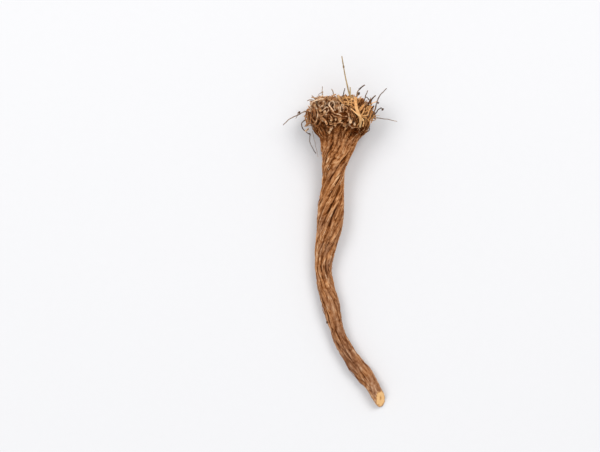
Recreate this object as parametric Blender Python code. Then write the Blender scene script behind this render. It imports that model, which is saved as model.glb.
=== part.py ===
"""A dried strapwort root, lying on its side as it would on a table.

The root is one grown piece: a twisted, furrowed taproot, cut slantwise at its thin end, that
flares at the other end into a broad crown covered with short dry stem bases, curls and a few long
wisps. A pale forked stem, another colour and a body of its own, lies bedded across the crown.

Units are metres and +Z is up. The origin is on the surface that the root lies on, below the middle
of its bounding box. +Y runs from the cut end towards the crown, and +X is to the right seen from above.
"""

import math
import random

import bmesh
import bpy
from mathutils import Vector, noise

MM = 0.001

# The taproot's centreline from the crown's top to the cut end, in millimetres:
# (x, y, z, half width, half depth, twist in degrees). Width is measured across the root seen from
# above, depth along Z, and the twist is how far the strands have turned about the centreline.
STATIONS = (
    (0.6, 71.0, 13.2, 0.2, 0.2, 0),
    (0.6, 70.6, 13.2, 7.8, 6.6, 0),
    (0.5, 68.8, 12.8, 13.3, 11.4, 0),
    (0.3, 65.0, 12.4, 15.9, 13.9, 0),
    (0.0, 60.6, 12.4, 16.0, 13.7, 0),
    (-0.5, 56.8, 12.5, 13.9, 12.0, 0),
    (-0.9, 51.3, 12.3, 10.2, 9.6, 2),
    (-1.7, 45.5, 11.9, 8.6, 8.3, 10),
    (-3.3, 37.0, 10.7, 6.5, 6.6, 36),
    (-4.1, 26.0, 9.2, 6.0, 6.0, 80),
    (-4.8, 13.9, 7.9, 7.0, 6.6, 126),
    (-6.2, 0.7, 6.8, 6.6, 6.2, 172),
    (-8.4, -11.5, 5.7, 5.1, 5.2, 206),
    (-9.1, -19.0, 5.1, 4.4, 4.6, 212),
    (-8.4, -26.0, 4.7, 4.3, 4.5, 202),
    (-5.3, -38.5, 4.4, 4.8, 4.7, 180),
    (-1.8, -51.8, 4.1, 3.85, 4.0, 172),
    (0.7, -59.0, 3.9, 3.75, 3.8, 170),
    (5.9, -68.6, 3.9, 4.1, 3.9, 170),
    (12.3, -76.8, 3.8, 4.45, 3.9, 168),
    (17.6, -83.6, 3.9, 3.75, 3.7, 166),
    (21.2, -90.0, 3.9, 3.5, 3.5, 166),
    (27.0, -98.0, 3.9, 3.3, 3.3, 166),
)
LAST = len(STATIONS) - 1
CROWN_SKIRT = 5.0  # the place along the stations where the stem bases end and the bare neck begins

# Strands along the root: rounded ridges with sharp furrows between them. Each forks in two in the neck.
STRANDS = 10
FURROW_DEPTH = 1.5 * MM
THICK_ROOT = 7 * MM  # half width at which the furrows have their full depth
CROWN_FURROWS = 0.5  # share of their depth left under the crown's stem bases
FORK_FROM = 6.2
FORK_TO = 8.0
STRAND_WANDER = 0.3  # how far a strand strays sideways, in radians
WANDER_LENGTH = 26 * MM
STRAND_VARIETY = 0.5
LUMP_HEIGHT = 0.45 * MM
LUMP_LENGTH = 9 * MM
SECTION_SIDES = 4 * STRANDS
RING_SPACING = 4.0 * MM
CROWN_PLACES = (0.0, 0.5, 1.0, 1.5, 2.0, 2.5, 3.0, 3.5, 4.0, 4.5)

# The slanting cut at the thin end.
CUT_POINT = Vector((22.2, -91.6, 3.9)) * MM
CUT_NORMAL = Vector((0.69, -0.32, 0.65)).normalized()

# Dry stem bases and curls that cover the crown, all round and over its top. A blunt base is short and
# thick, a slender one longer and bent: each kind has (radius, reach) as ranges.
STEM_COUNT = 178
BLUNT = ((0.90 * MM, 1.40 * MM), (3.4 * MM, 5.4 * MM))
SLENDER = ((0.52 * MM, 0.70 * MM), (5.0 * MM, 7.8 * MM))
SLENDER_EVERY = 3
STEM_SUNK = 1.3 * MM
LEAN_AT_TOP = 0.8  # share of +Y in a stem's direction, at the crown's top and at its skirt
LEAN_AT_SKIRT = 0.7
LEAN_ASTRAY = 0.5
CURL_COUNT = 20
CURL_RADIUS = 0.45 * MM
CURL_SIZE = (1.3 * MM, 2.0 * MM)
CURL_RINGS = 7
CURL_SUNK = 0.6 * MM
GOLDEN_ANGLE = math.pi * (3 - math.sqrt(5))
FLOOR_GAP = 0.15 * MM
BARE_UNDERSIDE = 1.6 * MM  # no stem starts lower than this, so that the crown's flat spot stays clear

# Long dry stems and rootlets that stand out of the crown, and one short side rootlet, in millimetres:
# (radius, points from the foot out).
WISPS = (
    (0.50, ((-14.5, 65.5, 17.0), (-19.4, 66.7, 17.2), (-23.6, 64.6, 16.4), (-28.0, 62.5, 15.0),
            (-31.2, 59.4, 13.4))),
    (0.45, ((-21.9, 66.0, 17.0), (-22.9, 66.3, 16.9), (-24.2, 62.9, 16.0))),
    (0.50, ((-15.0, 62.0, 9.0), (-20.6, 61.4, 8.2), (-21.2, 59.2, 7.6), (-19.9, 57.0, 7.2),
            (-17.8, 55.2, 7.0), (-16.2, 54.4, 7.0), (-16.4, 50.3, 6.2), (-13.2, 44.0, 4.6))),
    (0.45, ((-9.4, 69.0, 18.0), (-9.6, 75.6, 19.6), (-9.8, 80.2, 20.2))),
    (0.50, ((-11.6, 69.2, 16.0), (-14.6, 72.8, 18.3), (-18.0, 72.6, 18.2))),
    (0.48, ((-2.6, 69.0, 17.0), (-3.0, 75.6, 17.5), (-3.6, 78.2, 17.8))),
    (0.50, ((1.0, 69.0, 19.0), (1.3, 74.4, 20.4), (2.1, 77.7, 20.9))),
    (0.55, ((8.4, 69.0, 16.0), (9.1, 75.0, 18.4), (9.3, 76.9, 18.6), (11.2, 79.4, 19.2),
            (13.3, 81.0, 19.8))),
    (0.48, ((11.6, 68.6, 15.0), (13.6, 74.3, 17.5), (15.0, 77.9, 18.0))),
    (0.62, ((13.0, 67.4, 15.0), (17.0, 73.0, 16.6), (19.2, 75.4, 17.0))),
    (0.45, ((14.6, 62.0, 17.0), (19.2, 67.2, 18.4), (20.7, 71.3, 19.0), (21.7, 74.8, 19.6),
            (25.3, 79.0, 20.2))),
    (0.48, ((14.8, 61.5, 14.5), (19.2, 65.4, 15.0), (20.5, 67.2, 15.2), (22.0, 68.6, 15.2),
            (23.4, 67.7, 15.0))),
    (0.45, ((14.8, 62.8, 12.0), (20.2, 63.0, 12.2), (25.6, 62.6, 12.6), (31.3, 61.4, 13.2))),
    (0.70, ((-3.5, -48.6, 4.4), (-6.4, -48.8, 4.6), (-7.9, -49.3, 4.8))),
)
WISP_TIP = 0.45 * MM

# The pale stem that lies across the crown, in millimetres:
# (radius at the foot, radius at the tip, points (x, y, height over the crown)).
STRAW_TRUNK = (0.90, 0.95, ((10.6, 58.0, 2.0), (10.9, 61.0, 2.0), (10.5, 63.6, 2.1), (9.1, 66.8, 2.3),
                            (8.3, 70.4, 2.4), (8.1, 74.2, 2.5)))
STRAW_ARMS = (
    (0.70, 0.45, ((8.2, 72.2, 2.5), (6.2, 74.0, 2.6), (4.7, 76.4, 2.6), (3.7, 80.6, 2.8), (2.5, 86.0, 3.0),
                  (0.7, 96.4, 3.6))),
    (0.55, 0.45, ((5.2, 75.4, 2.6), (5.3, 77.4, 2.9), (5.3, 79.6, 3.4))),
    (0.62, 0.45, ((10.5, 63.6, 2.1), (8.2, 65.6, 2.4), (5.8, 67.5, 2.6))),
    (0.62, 0.45, ((10.4, 64.0, 2.1), (12.3, 67.0, 2.6), (13.7, 69.8, 3.0))),
    (0.58, 0.45, ((10.7, 63.2, 2.1), (13.9, 64.5, 2.5), (16.3, 66.6, 3.0), (18.6, 69.8, 3.6))),
    (0.58, 0.45, ((10.8, 62.6, 2.0), (13.0, 61.2, 2.2), (13.1, 58.6, 2.2))),
    (0.55, 0.45, ((8.3, 70.8, 2.4), (5.0, 71.3, 2.6), (2.0, 71.6, 3.0))),
)
CROWN_EDGE = 69.0 * MM  # beyond this y the pale stem keeps the height that it has there
STRAW_CLEARANCE = 0.35 * MM
STRAW_STEP = 2.2 * MM

DRAW_SEED = 14
SHARP_ANGLE = math.radians(40)
BARK = ("dry_bark", (0.30, 0.155, 0.065), 0.85)
STRAW_COLOUR = ("straw", (0.62, 0.36, 0.12), 0.7)


def clear_scene():
    for obj in list(bpy.data.objects):
        bpy.data.objects.remove(obj)


def material(name, colour, roughness):
    made = bpy.data.materials.new(name)
    made.use_nodes = True
    shader = made.node_tree.nodes["Principled BSDF"]
    shader.inputs["Base Color"].default_value = (*colour, 1)
    shader.inputs["Roughness"].default_value = roughness
    shader.inputs["Metallic"].default_value = 0
    return made


def ramp(value, start, end):
    """0 at start, 1 at end and straight between them."""
    return min(1.0, max(0.0, (value - start) / (end - start)))


def catmull_rom(before, start, end, after, t):
    """One number of a smooth curve through start and end."""
    return 0.5 * (
        2 * start
        + (end - before) * t
        + (2 * before - 5 * start + 4 * end - after) * t**2
        + (3 * start - before - 3 * end + after) * t**3
    )


def station(where):
    """The station at a fractional index: centre, half width, half depth and twist in radians."""
    i = min(int(where), LAST - 1)
    rows = [STATIONS[max(0, min(LAST, i + k))] for k in (-1, 0, 1, 2)]
    x, y, z, width, depth, twist = (catmull_rom(*column, where - i) for column in zip(*rows))
    return Vector((x, y, z)) * MM, max(width, 0.2) * MM, max(depth, 0.2) * MM, math.radians(twist)


def section_frame(where):
    """(centre, side, up) of the section plane: side is level and points to +X, up is square to it."""
    centre = station(where)[0]
    ahead = station(min(where + 0.02, LAST))[0]
    behind = station(max(where - 0.02, 0))[0]
    along = (ahead - behind).normalized()
    side = Vector((0, 0, 1)).cross(along).normalized()
    return centre, side, along.cross(side)


def relief(strand_angle, where):
    """How far the bark stands out of the plain oval there: strands with furrows, and low lumps."""
    centre, width, _, _ = station(where)
    round_x, round_y = math.cos(strand_angle), math.sin(strand_angle)
    whole = abs(math.sin(0.5 * STRANDS * strand_angle)) ** 0.7
    forked = abs(math.sin(STRANDS * strand_angle)) ** 0.7
    strand = forked + (whole - forked) * ramp(where, FORK_FROM, FORK_TO)
    variety = noise.noise(Vector((2 * round_x, 2 * round_y, 7 + centre.y / WANDER_LENGTH)))
    depth = FURROW_DEPTH * min(width / THICK_ROOT, 1.3) * (1 + STRAND_VARIETY * variety)
    depth *= CROWN_FURROWS + (1 - CROWN_FURROWS) * ramp(where, CROWN_SKIRT - 2, CROWN_SKIRT)
    lump = noise.noise(Vector((width * round_x, width * round_y, 0.5 * centre.y)) / LUMP_LENGTH)
    return depth * (strand - 0.75) + LUMP_HEIGHT * lump


def root_surface(strand_angle, where):
    """A point of the taproot's surface, named by its place round the strands and along the stations.

    The root lies on the floor, so its underside is pressed flat there.
    """
    centre, side, up = section_frame(where)
    _, width, depth, twist = station(where)
    spot = Vector((math.cos(strand_angle), math.sin(strand_angle), centre.y / WANDER_LENGTH))
    angle = strand_angle + twist - STRAND_WANDER * noise.noise(spot)
    raised = relief(strand_angle, where)
    point = centre + side * (width + raised) * math.cos(angle) + up * (depth + raised) * math.sin(angle)
    point.z = max(point.z, 0.0)
    return point


def ring_places():
    """Fractional station indexes of the sections, close together where the crown's top curves in."""
    places = list(CROWN_PLACES)
    where = CROWN_PLACES[-1] + 0.5
    while where < LAST:
        places.append(where)
        step = (station(min(where + 0.01, LAST))[0] - station(where)[0]).length / 0.01
        where += RING_SPACING / max(step, 1e-6)
    return places + [float(LAST)]


def taproot_body():
    """The bare root as a loft of its sections, closed at the crown's top and cut slantwise at the thin end."""
    bm = bmesh.new()
    rings = []
    for where in ring_places():
        angles = [2 * math.pi * k / SECTION_SIDES for k in range(SECTION_SIDES)]
        rings.append([bm.verts.new(root_surface(angle, where)) for angle in angles])
    skin(bm, rings)
    everything = bm.verts[:] + bm.edges[:] + bm.faces[:]
    bmesh.ops.bisect_plane(bm, geom=everything, plane_co=CUT_POINT, plane_no=CUT_NORMAL, clear_outer=True)
    bmesh.ops.holes_fill(bm, edges=[edge for edge in bm.edges if edge.is_boundary])
    return mesh_object("taproot", bm)


def skin(bm, rings):
    """Faces between the rings, and one over each end."""
    for ring, following in zip(rings, rings[1:]):
        for k in range(len(ring)):
            nxt = (k + 1) % len(ring)
            bm.faces.new((ring[k], ring[nxt], following[nxt], following[k]))
    bm.faces.new(rings[0])
    bm.faces.new(rings[-1])


def mesh_object(name, bm):
    bmesh.ops.recalc_face_normals(bm, faces=bm.faces)
    bmesh.ops.triangulate(bm, faces=bm.faces)
    mesh = bpy.data.meshes.new(name)
    bm.to_mesh(mesh)
    bm.free()
    return bpy.data.objects.new(name, mesh)


def tube(name, points, radii, sides, collection):
    """A closed tube along the points, kept clear of the floor."""
    bm = bmesh.new()
    rings = []
    across = Vector((0.31, 0.22, 0.93))
    for k, (point, radius) in enumerate(zip(points, radii)):
        along = (points[min(k + 1, len(points) - 1)] - points[max(k - 1, 0)]).normalized()
        across = (across - along * across.dot(along)).normalized()
        over = along.cross(across)
        centre = Vector((point.x, point.y, max(point.z, radius + FLOOR_GAP)))
        ring = []
        for j in range(sides):
            turn = 2 * math.pi * j / sides
            ring.append(bm.verts.new(centre + (across * math.cos(turn) + over * math.sin(turn)) * radius))
        rings.append(ring)
    skin(bm, rings)
    collection.objects.link(mesh_object(name, bm))


def crown_shares(steps=60):
    """Fractional stations down the crown with the share of its surface that lies above each."""
    places = [CROWN_SKIRT * k / steps for k in range(steps + 1)]
    shares = [0.0]
    for upper, lower in zip(places, places[1:]):
        top_centre, top_width, _, _ = station(upper)
        centre, width, _, _ = station(lower)
        slant = math.hypot((centre - top_centre).length, width - top_width)
        shares.append(shares[-1] + slant * (top_width + width))
    return [(place, share / shares[-1]) for place, share in zip(places, shares)]


def crown_place(share, table):
    for (upper, above), (lower, below) in zip(table, table[1:]):
        if share <= below:
            return upper + (lower - upper) * (share - above) / max(below - above, 1e-9)
    return table[-1][0]


def crown_outward(angle, where):
    """The unit normal of the crown's plain oval, without its strands."""
    _, side, up = section_frame(where)
    upper, lower = max(where - 0.1, 0.0), where + 0.1
    top_centre, top_width, top_depth, _ = station(upper)
    centre, width, depth, twist = station(lower)
    turn = angle + twist
    top = top_centre + side * top_width * math.cos(turn) + up * top_depth * math.sin(turn)
    down = centre + side * width * math.cos(turn) + up * depth * math.sin(turn) - top
    sideways = side * (-width * math.sin(turn)) + up * (depth * math.cos(turn))
    normal = sideways.cross(down).normalized()
    return normal * (1 if normal.dot(top - station(3)[0]) > 0 else -1)


def astray(draw):
    return Vector((draw.uniform(-1, 1), draw.uniform(-1, 1), draw.uniform(-1, 1)))


def stem_base(index, foot, outward, where, draw, collection):
    """One dry stem base that leaves the crown: blunt and straight, or slender and bent as it dried."""
    slender = index % SLENDER_EVERY == 0
    radii_range, reach_range = SLENDER if slender else BLUNT
    lean = LEAN_AT_TOP + (LEAN_AT_SKIRT - LEAN_AT_TOP) * where / CROWN_SKIRT
    heading = (outward + Vector((0, lean, 0)) + LEAN_ASTRAY * astray(draw)).normalized()
    reach = draw.uniform(*reach_range)
    radius = draw.uniform(*radii_range)
    bend = heading.cross(astray(draw)).normalized() * reach * draw.uniform(0.2, 0.7)
    start = foot - outward * STEM_SUNK
    if slender:
        points = [start + heading * (reach * t) + bend * t * t for t in (0.0, 0.5, 1.0)]
        tube(f"stem_{index}", points, [1.1 * radius, radius, 0.85 * radius], 3, collection)
    else:
        tube(f"stem_{index}", [start, start + heading * reach], [1.1 * radius, 0.8 * radius], 4, collection)


def crown_curl(index, foot, outward, draw, collection):
    """A thin rootlet that leaves the crown, makes an open loop over it and ends in the air."""
    size = draw.uniform(*CURL_SIZE)
    across = outward.cross(astray(draw)).normalized()
    start = foot - outward * CURL_SUNK
    points = []
    for k in range(CURL_RINGS):
        turn = 1.6 * math.pi * k / (CURL_RINGS - 1)
        climb = outward * (size * (1.2 - 1.1 * math.cos(turn)) + 0.25 * size * turn)
        points.append(start + climb + across * (size * math.sin(turn)))
    tube(f"curl_{index}", points, [CURL_RADIUS] * CURL_RINGS, 3, collection)


def crown_repeats(draw, collection):
    """Stem bases and curls at even shares of the crown's surface, a golden angle apart."""
    table = crown_shares()
    total = STEM_COUNT + CURL_COUNT
    curl_every = total // CURL_COUNT
    for index in range(total):
        where = crown_place((index + 0.6) / total, table)
        angle = (index * GOLDEN_ANGLE + draw.uniform(-0.12, 0.12)) % (2 * math.pi)
        foot = root_surface(angle, where)
        if foot.z < BARE_UNDERSIDE:
            continue
        outward = crown_outward(angle, where)
        if index % curl_every == curl_every // 2:
            crown_curl(index, foot, outward, draw, collection)
        else:
            stem_base(index, foot, outward, where, draw, collection)


def wisps(collection):
    for index, (radius, route) in enumerate(WISPS):
        points = [Vector(point) * MM for point in route]
        last = len(points) - 1
        radii = [max(radius * MM * (1.15 - 0.35 * k / last), WISP_TIP) for k in range(len(points))]
        tube(f"wisp_{index}", points, radii, 4, collection)


def crown_height(x, y):
    """Z of the crown's plain upper surface over (x, y)."""
    places = [1 + 0.05 * k for k in range(round((CROWN_SKIRT - 1) / 0.05) + 1)]
    nearest = min(places, key=lambda where: abs(station(where)[0].y - y))
    centre, width, depth, _ = station(nearest)
    share = min(abs(x - centre.x) / width, 0.97)
    return centre.z + depth * math.sqrt(1 - share * share)


def straw_tube(name, foot_radius, tip_radius, route, extra, collection):
    """One arm of the pale stem, bent over the crown with a point every few millimetres."""
    points = []
    for (x0, y0, h0), (x1, y1, h1) in zip(route, route[1:]):
        steps = max(1, round(math.hypot(x1 - x0, y1 - y0) * MM / STRAW_STEP))
        for k in range(steps):
            t = k / steps
            points.append((x0 + (x1 - x0) * t, y0 + (y1 - y0) * t, h0 + (h1 - h0) * t))
    points.append(route[-1])
    bent = []
    for x, y, lift in points:
        height = crown_height(x * MM, min(y * MM, CROWN_EDGE))
        bent.append(Vector((x * MM, y * MM, height + lift * MM)))
    last = len(bent) - 1
    radii = [(foot_radius + (tip_radius - foot_radius) * k / last) * MM + extra for k in range(len(bent))]
    tube(name, bent, radii, 4, collection)


def straw_arms(extra, collection):
    for index, arm in enumerate(STRAW_ARMS):
        straw_tube(f"arm_{index}", *arm, extra, collection)


def join(target, collection, operation):
    """Applies one Boolean with all of the collection's objects, then removes them."""
    modifier = target.modifiers.new(operation.lower(), "BOOLEAN")
    modifier.operation = operation
    modifier.operand_type = "COLLECTION"
    modifier.collection = collection
    modifier.solver = "MANIFOLD"
    graph = bpy.context.evaluated_depsgraph_get()
    mesh = bpy.data.meshes.new_from_object(target.evaluated_get(graph))
    target.modifiers.clear()
    target.data = mesh
    for obj in list(collection.objects):
        bpy.data.objects.remove(obj)
    bpy.data.collections.remove(collection)


def working_collection(name):
    made = bpy.data.collections.new(name)
    bpy.context.scene.collection.children.link(made)
    return made


def keep_largest_body(target):
    """Drops the loose scraps that a cut leaves."""
    bm = bmesh.new()
    bm.from_mesh(target.data)
    unseen = set(bm.verts)
    bodies = []
    while unseen:
        start = unseen.pop()
        body, edge_of = {start}, [start]
        while edge_of:
            vert = edge_of.pop()
            for edge in vert.link_edges:
                other = edge.other_vert(vert)
                if other in unseen:
                    unseen.discard(other)
                    body.add(other)
                    edge_of.append(other)
        bodies.append(body)
    largest = max(bodies, key=len)
    bmesh.ops.delete(bm, geom=[vert for vert in bm.verts if vert not in largest], context="VERTS")
    bm.to_mesh(target.data)
    bm.free()


def finish(obj, look):
    obj.data.materials.clear()
    obj.data.materials.append(material(*look))
    obj.data.shade_smooth()
    obj.data.set_sharp_from_angle(angle=SHARP_ANGLE)


def main():
    clear_scene()
    parts = working_collection("dried_strapwort_root")
    draw = random.Random(DRAW_SEED)

    taproot = taproot_body()
    parts.objects.link(taproot)
    repeats = working_collection("crown_repeats")
    crown_repeats(draw, repeats)
    wisps(repeats)
    join(taproot, repeats, "UNION")
    bed = working_collection("straw_bed")
    straw_tube("bed_trunk", *STRAW_TRUNK, STRAW_CLEARANCE, bed)
    straw_arms(STRAW_CLEARANCE, bed)
    join(taproot, bed, "DIFFERENCE")
    keep_largest_body(taproot)
    finish(taproot, BARK)

    straw_tube("straw_stem", *STRAW_TRUNK, 0.0, parts)
    straw_stem = parts.objects["straw_stem"]
    arms = working_collection("straw_arms")
    straw_arms(0.0, arms)
    join(straw_stem, arms, "UNION")
    finish(straw_stem, STRAW_COLOUR)


main()
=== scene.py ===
import math
import random

import bmesh
import bpy
import numpy as np
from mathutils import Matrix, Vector, noise


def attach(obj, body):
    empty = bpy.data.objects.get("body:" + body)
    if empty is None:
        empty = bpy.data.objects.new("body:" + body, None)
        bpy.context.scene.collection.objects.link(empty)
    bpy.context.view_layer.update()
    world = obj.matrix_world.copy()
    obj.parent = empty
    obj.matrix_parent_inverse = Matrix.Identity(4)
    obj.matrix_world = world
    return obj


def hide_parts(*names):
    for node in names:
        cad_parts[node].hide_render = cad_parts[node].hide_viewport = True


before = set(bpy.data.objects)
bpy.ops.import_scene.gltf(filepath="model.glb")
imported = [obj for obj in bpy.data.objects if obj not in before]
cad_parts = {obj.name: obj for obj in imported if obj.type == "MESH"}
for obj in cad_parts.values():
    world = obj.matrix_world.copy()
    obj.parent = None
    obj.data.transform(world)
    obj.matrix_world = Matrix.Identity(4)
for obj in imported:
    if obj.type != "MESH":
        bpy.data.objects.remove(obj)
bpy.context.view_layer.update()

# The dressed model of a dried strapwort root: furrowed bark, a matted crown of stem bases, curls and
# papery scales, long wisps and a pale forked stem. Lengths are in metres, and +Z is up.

MM = 0.001
TURN = 2 * math.pi
GOLDEN_ANGLE = math.pi * (3 - math.sqrt(5))

# The taproot's centreline, as in the part's source, in millimetres:
# (x, y, z, half width, half depth, twist in degrees), from the crown's top to the cut end.
STATIONS = (
    (0.6, 71.0, 13.2, 0.2, 0.2, 0),
    (0.6, 70.6, 13.2, 7.8, 6.6, 0),
    (0.5, 68.8, 12.8, 13.3, 11.4, 0),
    (0.3, 65.0, 12.4, 15.9, 13.9, 0),
    (0.0, 60.6, 12.4, 16.0, 13.7, 0),
    (-0.5, 56.8, 12.5, 13.9, 12.0, 0),
    (-0.9, 51.3, 12.3, 10.2, 9.6, 2),
    (-1.7, 45.5, 11.9, 8.6, 8.3, 10),
    (-3.3, 37.0, 10.7, 6.5, 6.6, 36),
    (-4.1, 26.0, 9.2, 6.0, 6.0, 80),
    (-4.8, 13.9, 7.9, 7.0, 6.6, 126),
    (-6.2, 0.7, 6.8, 6.6, 6.2, 172),
    (-8.4, -11.5, 5.7, 5.1, 5.2, 206),
    (-9.1, -19.0, 5.1, 4.4, 4.6, 212),
    (-8.4, -26.0, 4.7, 4.3, 4.5, 202),
    (-5.3, -38.5, 4.4, 4.8, 4.7, 180),
    (-1.8, -51.8, 4.1, 3.85, 4.0, 172),
    (0.7, -59.0, 3.9, 3.75, 3.8, 170),
    (5.9, -68.6, 3.9, 4.1, 3.9, 170),
    (12.3, -76.8, 3.8, 4.45, 3.9, 168),
    (17.6, -83.6, 3.9, 3.75, 3.7, 166),
    (21.2, -90.0, 3.9, 3.5, 3.5, 166),
    (27.0, -98.0, 3.9, 3.3, 3.3, 166),
)
LAST = len(STATIONS) - 1
CROWN_SKIRT = 5.0  # the place along the stations where the stem bases end and the bare neck begins
STRANDS = 10
FURROW_DEPTH = 1.5 * MM
THICK_ROOT = 7 * MM
CROWN_FURROWS = 0.5
FORK_FROM = 6.2
FORK_TO = 8.0
STRAND_WANDER = 0.3
WANDER_LENGTH = 26 * MM
STRAND_VARIETY = 0.5
LUMP_HEIGHT = 0.45 * MM
LUMP_LENGTH = 9 * MM
CUT_POINT = Vector((22.2, -91.6, 3.9)) * MM
CUT_NORMAL = Vector((0.69, -0.32, 0.65)).normalized()

# The cut face has rings at these shares of its outline, round a pith beside its middle.
CUT_SHARES = (1.0, 0.97, 0.90, 0.82, 0.72, 0.62, 0.52, 0.42, 0.32, 0.22, 0.14, 0.07)
PITH_OFFSET = Vector((-0.3, 1.1, 0.0)) * MM

# The bark's finer relief. Each pattern has a size across the strands, one along them, and a height.
ROOT_RINGS = 400
ROOT_SIDES = 240
GROOVE_GATE = 0.8  # how much a furrow's depth comes and goes along the root
GROOVE_LENGTH = 11 * MM
FURROW_SHARES = ((0, 9, 14, 18, 22), (1.0, 0.95, 0.75, 0.45, 0.25))  # stations, and the share left there
SLIP = (3.4 * MM, 7.0 * MM, 0.55 * MM)  # sideways wander of all the patterns
SMALL_SLIP = (1.3 * MM, 2.2 * MM, 0.26 * MM)
BUNDLE = (2.1 * MM, 20 * MM, 0.12 * MM)
FIBRE = (1.05 * MM, 10 * MM, 0.10 * MM)
THREAD = (0.48 * MM, 4 * MM, 0.12 * MM)
RIDGE_EDGE = 0.26
FLAKE = (2.8 * MM, 7 * MM, 0.20 * MM)
SLIT = (1.7 * MM, 7 * MM, 0.50 * MM)
SLIT_EDGE = 0.13
LINE = (2.2 * MM, 16 * MM, 0.24 * MM)
LINE_EDGE = 0.09
WRINKLE = (3.6 * MM, 1.0 * MM, 0.12 * MM)

# The bark's shade, from 0 in the darkest slit to 1 on the palest ridge. It holds painted shade too: partly
# in the furrows, and under the crown.
PLAIN_SHADE = 0.61
# Furrows are darkened partly as the bark's own colour and partly as painted shade in the recess.
FURROW_SHADE = 0.38
SLIT_SHADE = 0.42
CALM_STREAKS = 0.2  # what would be left of the light streaks where no furrow is left
PAINTED_SHADE_UNDER_CROWN = 0.14  # what is left of the bark's shade under the crown, which is darkened there as painted shade
PAINTED_SHADE_FADE = (4.4, 6.0)  # stations between which the bark comes out of the painted shade under the crown
LEFT_PAINTED_SHADE = 1.1  # on the left side the painted shade reaches this many stations further down

LEFT_PAINTED_LIGHT = 0.28  # painted light: how much paler things that grow on the crown's left side are made, standing in for light that falls there
LEFT_PAINTED_LIGHT_FROM = (4 * MM, 12 * MM)  # how far left that painted light begins, and is full
FLOOR_GAP = 0.1 * MM
SHARP_ANGLE = math.radians(50)
NOISE_SEED = 4  # unseeded, noise_vector differs from run to run


def ramp(value, start, end):
    """0 at start, 1 at end and straight between them."""
    return min(1.0, max(0.0, (value - start) / (end - start)))


def catmull_rom(before, start, end, after, t):
    """One number, or one point, of a smooth curve through start and end."""
    return 0.5 * (
        2 * start
        + (end - before) * t
        + (2 * before - 5 * start + 4 * end - after) * t**2
        + (3 * start - before - 3 * end + after) * t**3
    )


def station(where):
    """The station at a fractional index: centre, half width, half depth and twist in radians."""
    i = min(int(where), LAST - 1)
    rows = [STATIONS[max(0, min(LAST, i + k))] for k in (-1, 0, 1, 2)]
    x, y, z, width, depth, twist = (catmull_rom(*column, where - i) for column in zip(*rows))
    return Vector((x, y, z)) * MM, max(width, 0.2) * MM, max(depth, 0.2) * MM, math.radians(twist)


def section_frame(where):
    centre = station(where)[0]
    along = (station(min(where + 0.02, LAST))[0] - station(max(where - 0.02, 0))[0]).normalized()
    side = Vector((0, 0, 1)).cross(along).normalized()
    return centre, side, along.cross(side)


def strand_shape(strand_angle, where):
    """0 in a furrow and 1 on a strand's ridge. Strands fork in two in the neck."""
    whole = abs(math.sin(0.5 * STRANDS * strand_angle)) ** 0.7
    forked = abs(math.sin(STRANDS * strand_angle)) ** 0.7
    return forked + (whole - forked) * ramp(where, FORK_FROM, FORK_TO)


def furrow_depth(cos, sin, where, centre, width):
    variety = noise.noise(Vector((2 * cos, 2 * sin, 7 + centre.y / WANDER_LENGTH)))
    depth = FURROW_DEPTH * min(width / THICK_ROOT, 1.3) * (1 + STRAND_VARIETY * variety)
    return depth * (CROWN_FURROWS + (1 - CROWN_FURROWS) * ramp(where, CROWN_SKIRT - 2, CROWN_SKIRT))


def lumps(cos, sin, centre, width):
    return LUMP_HEIGHT * noise.noise(Vector((width * cos, width * sin, 0.5 * centre.y)) / LUMP_LENGTH)


def turned_angle(strand_angle, centre, twist):
    spot = Vector((math.cos(strand_angle), math.sin(strand_angle), centre.y / WANDER_LENGTH))
    return strand_angle + twist - STRAND_WANDER * noise.noise(spot)


def on_section(section, raised, width, depth, angle):
    """The point of a section at that angle, raised out of its plain oval. The floor presses it flat."""
    centre, side, up = section
    point = centre + side * (width + raised) * math.cos(angle) + up * (depth + raised) * math.sin(angle)
    point.z = max(point.z, 0.0)
    return point


def root_surface(strand_angle, where):
    """A point of the plain taproot, by its place round the strands and along the stations."""
    section = section_frame(where)
    centre, width, depth, twist = station(where)
    cos, sin = math.cos(strand_angle), math.sin(strand_angle)
    furrow = furrow_depth(cos, sin, where, centre, width)
    raised = furrow * (strand_shape(strand_angle, where) - 0.75) + lumps(cos, sin, centre, width)
    return on_section(section, raised, width, depth, turned_angle(strand_angle, centre, twist))


def grain_noise(pattern, cos, sin, width, down, shift):
    """Noise whose cells have the pattern's size across the strands and along them."""
    across, along, _ = pattern
    return noise.noise(Vector((width * cos / across, width * sin / across, down / along + shift)))


def ridged(value):
    """1 on the thin lines where a pattern crosses zero, and -1 away from them."""
    return 1 - 2 * min(1.0, abs(value) / RIDGE_EDGE)


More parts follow.
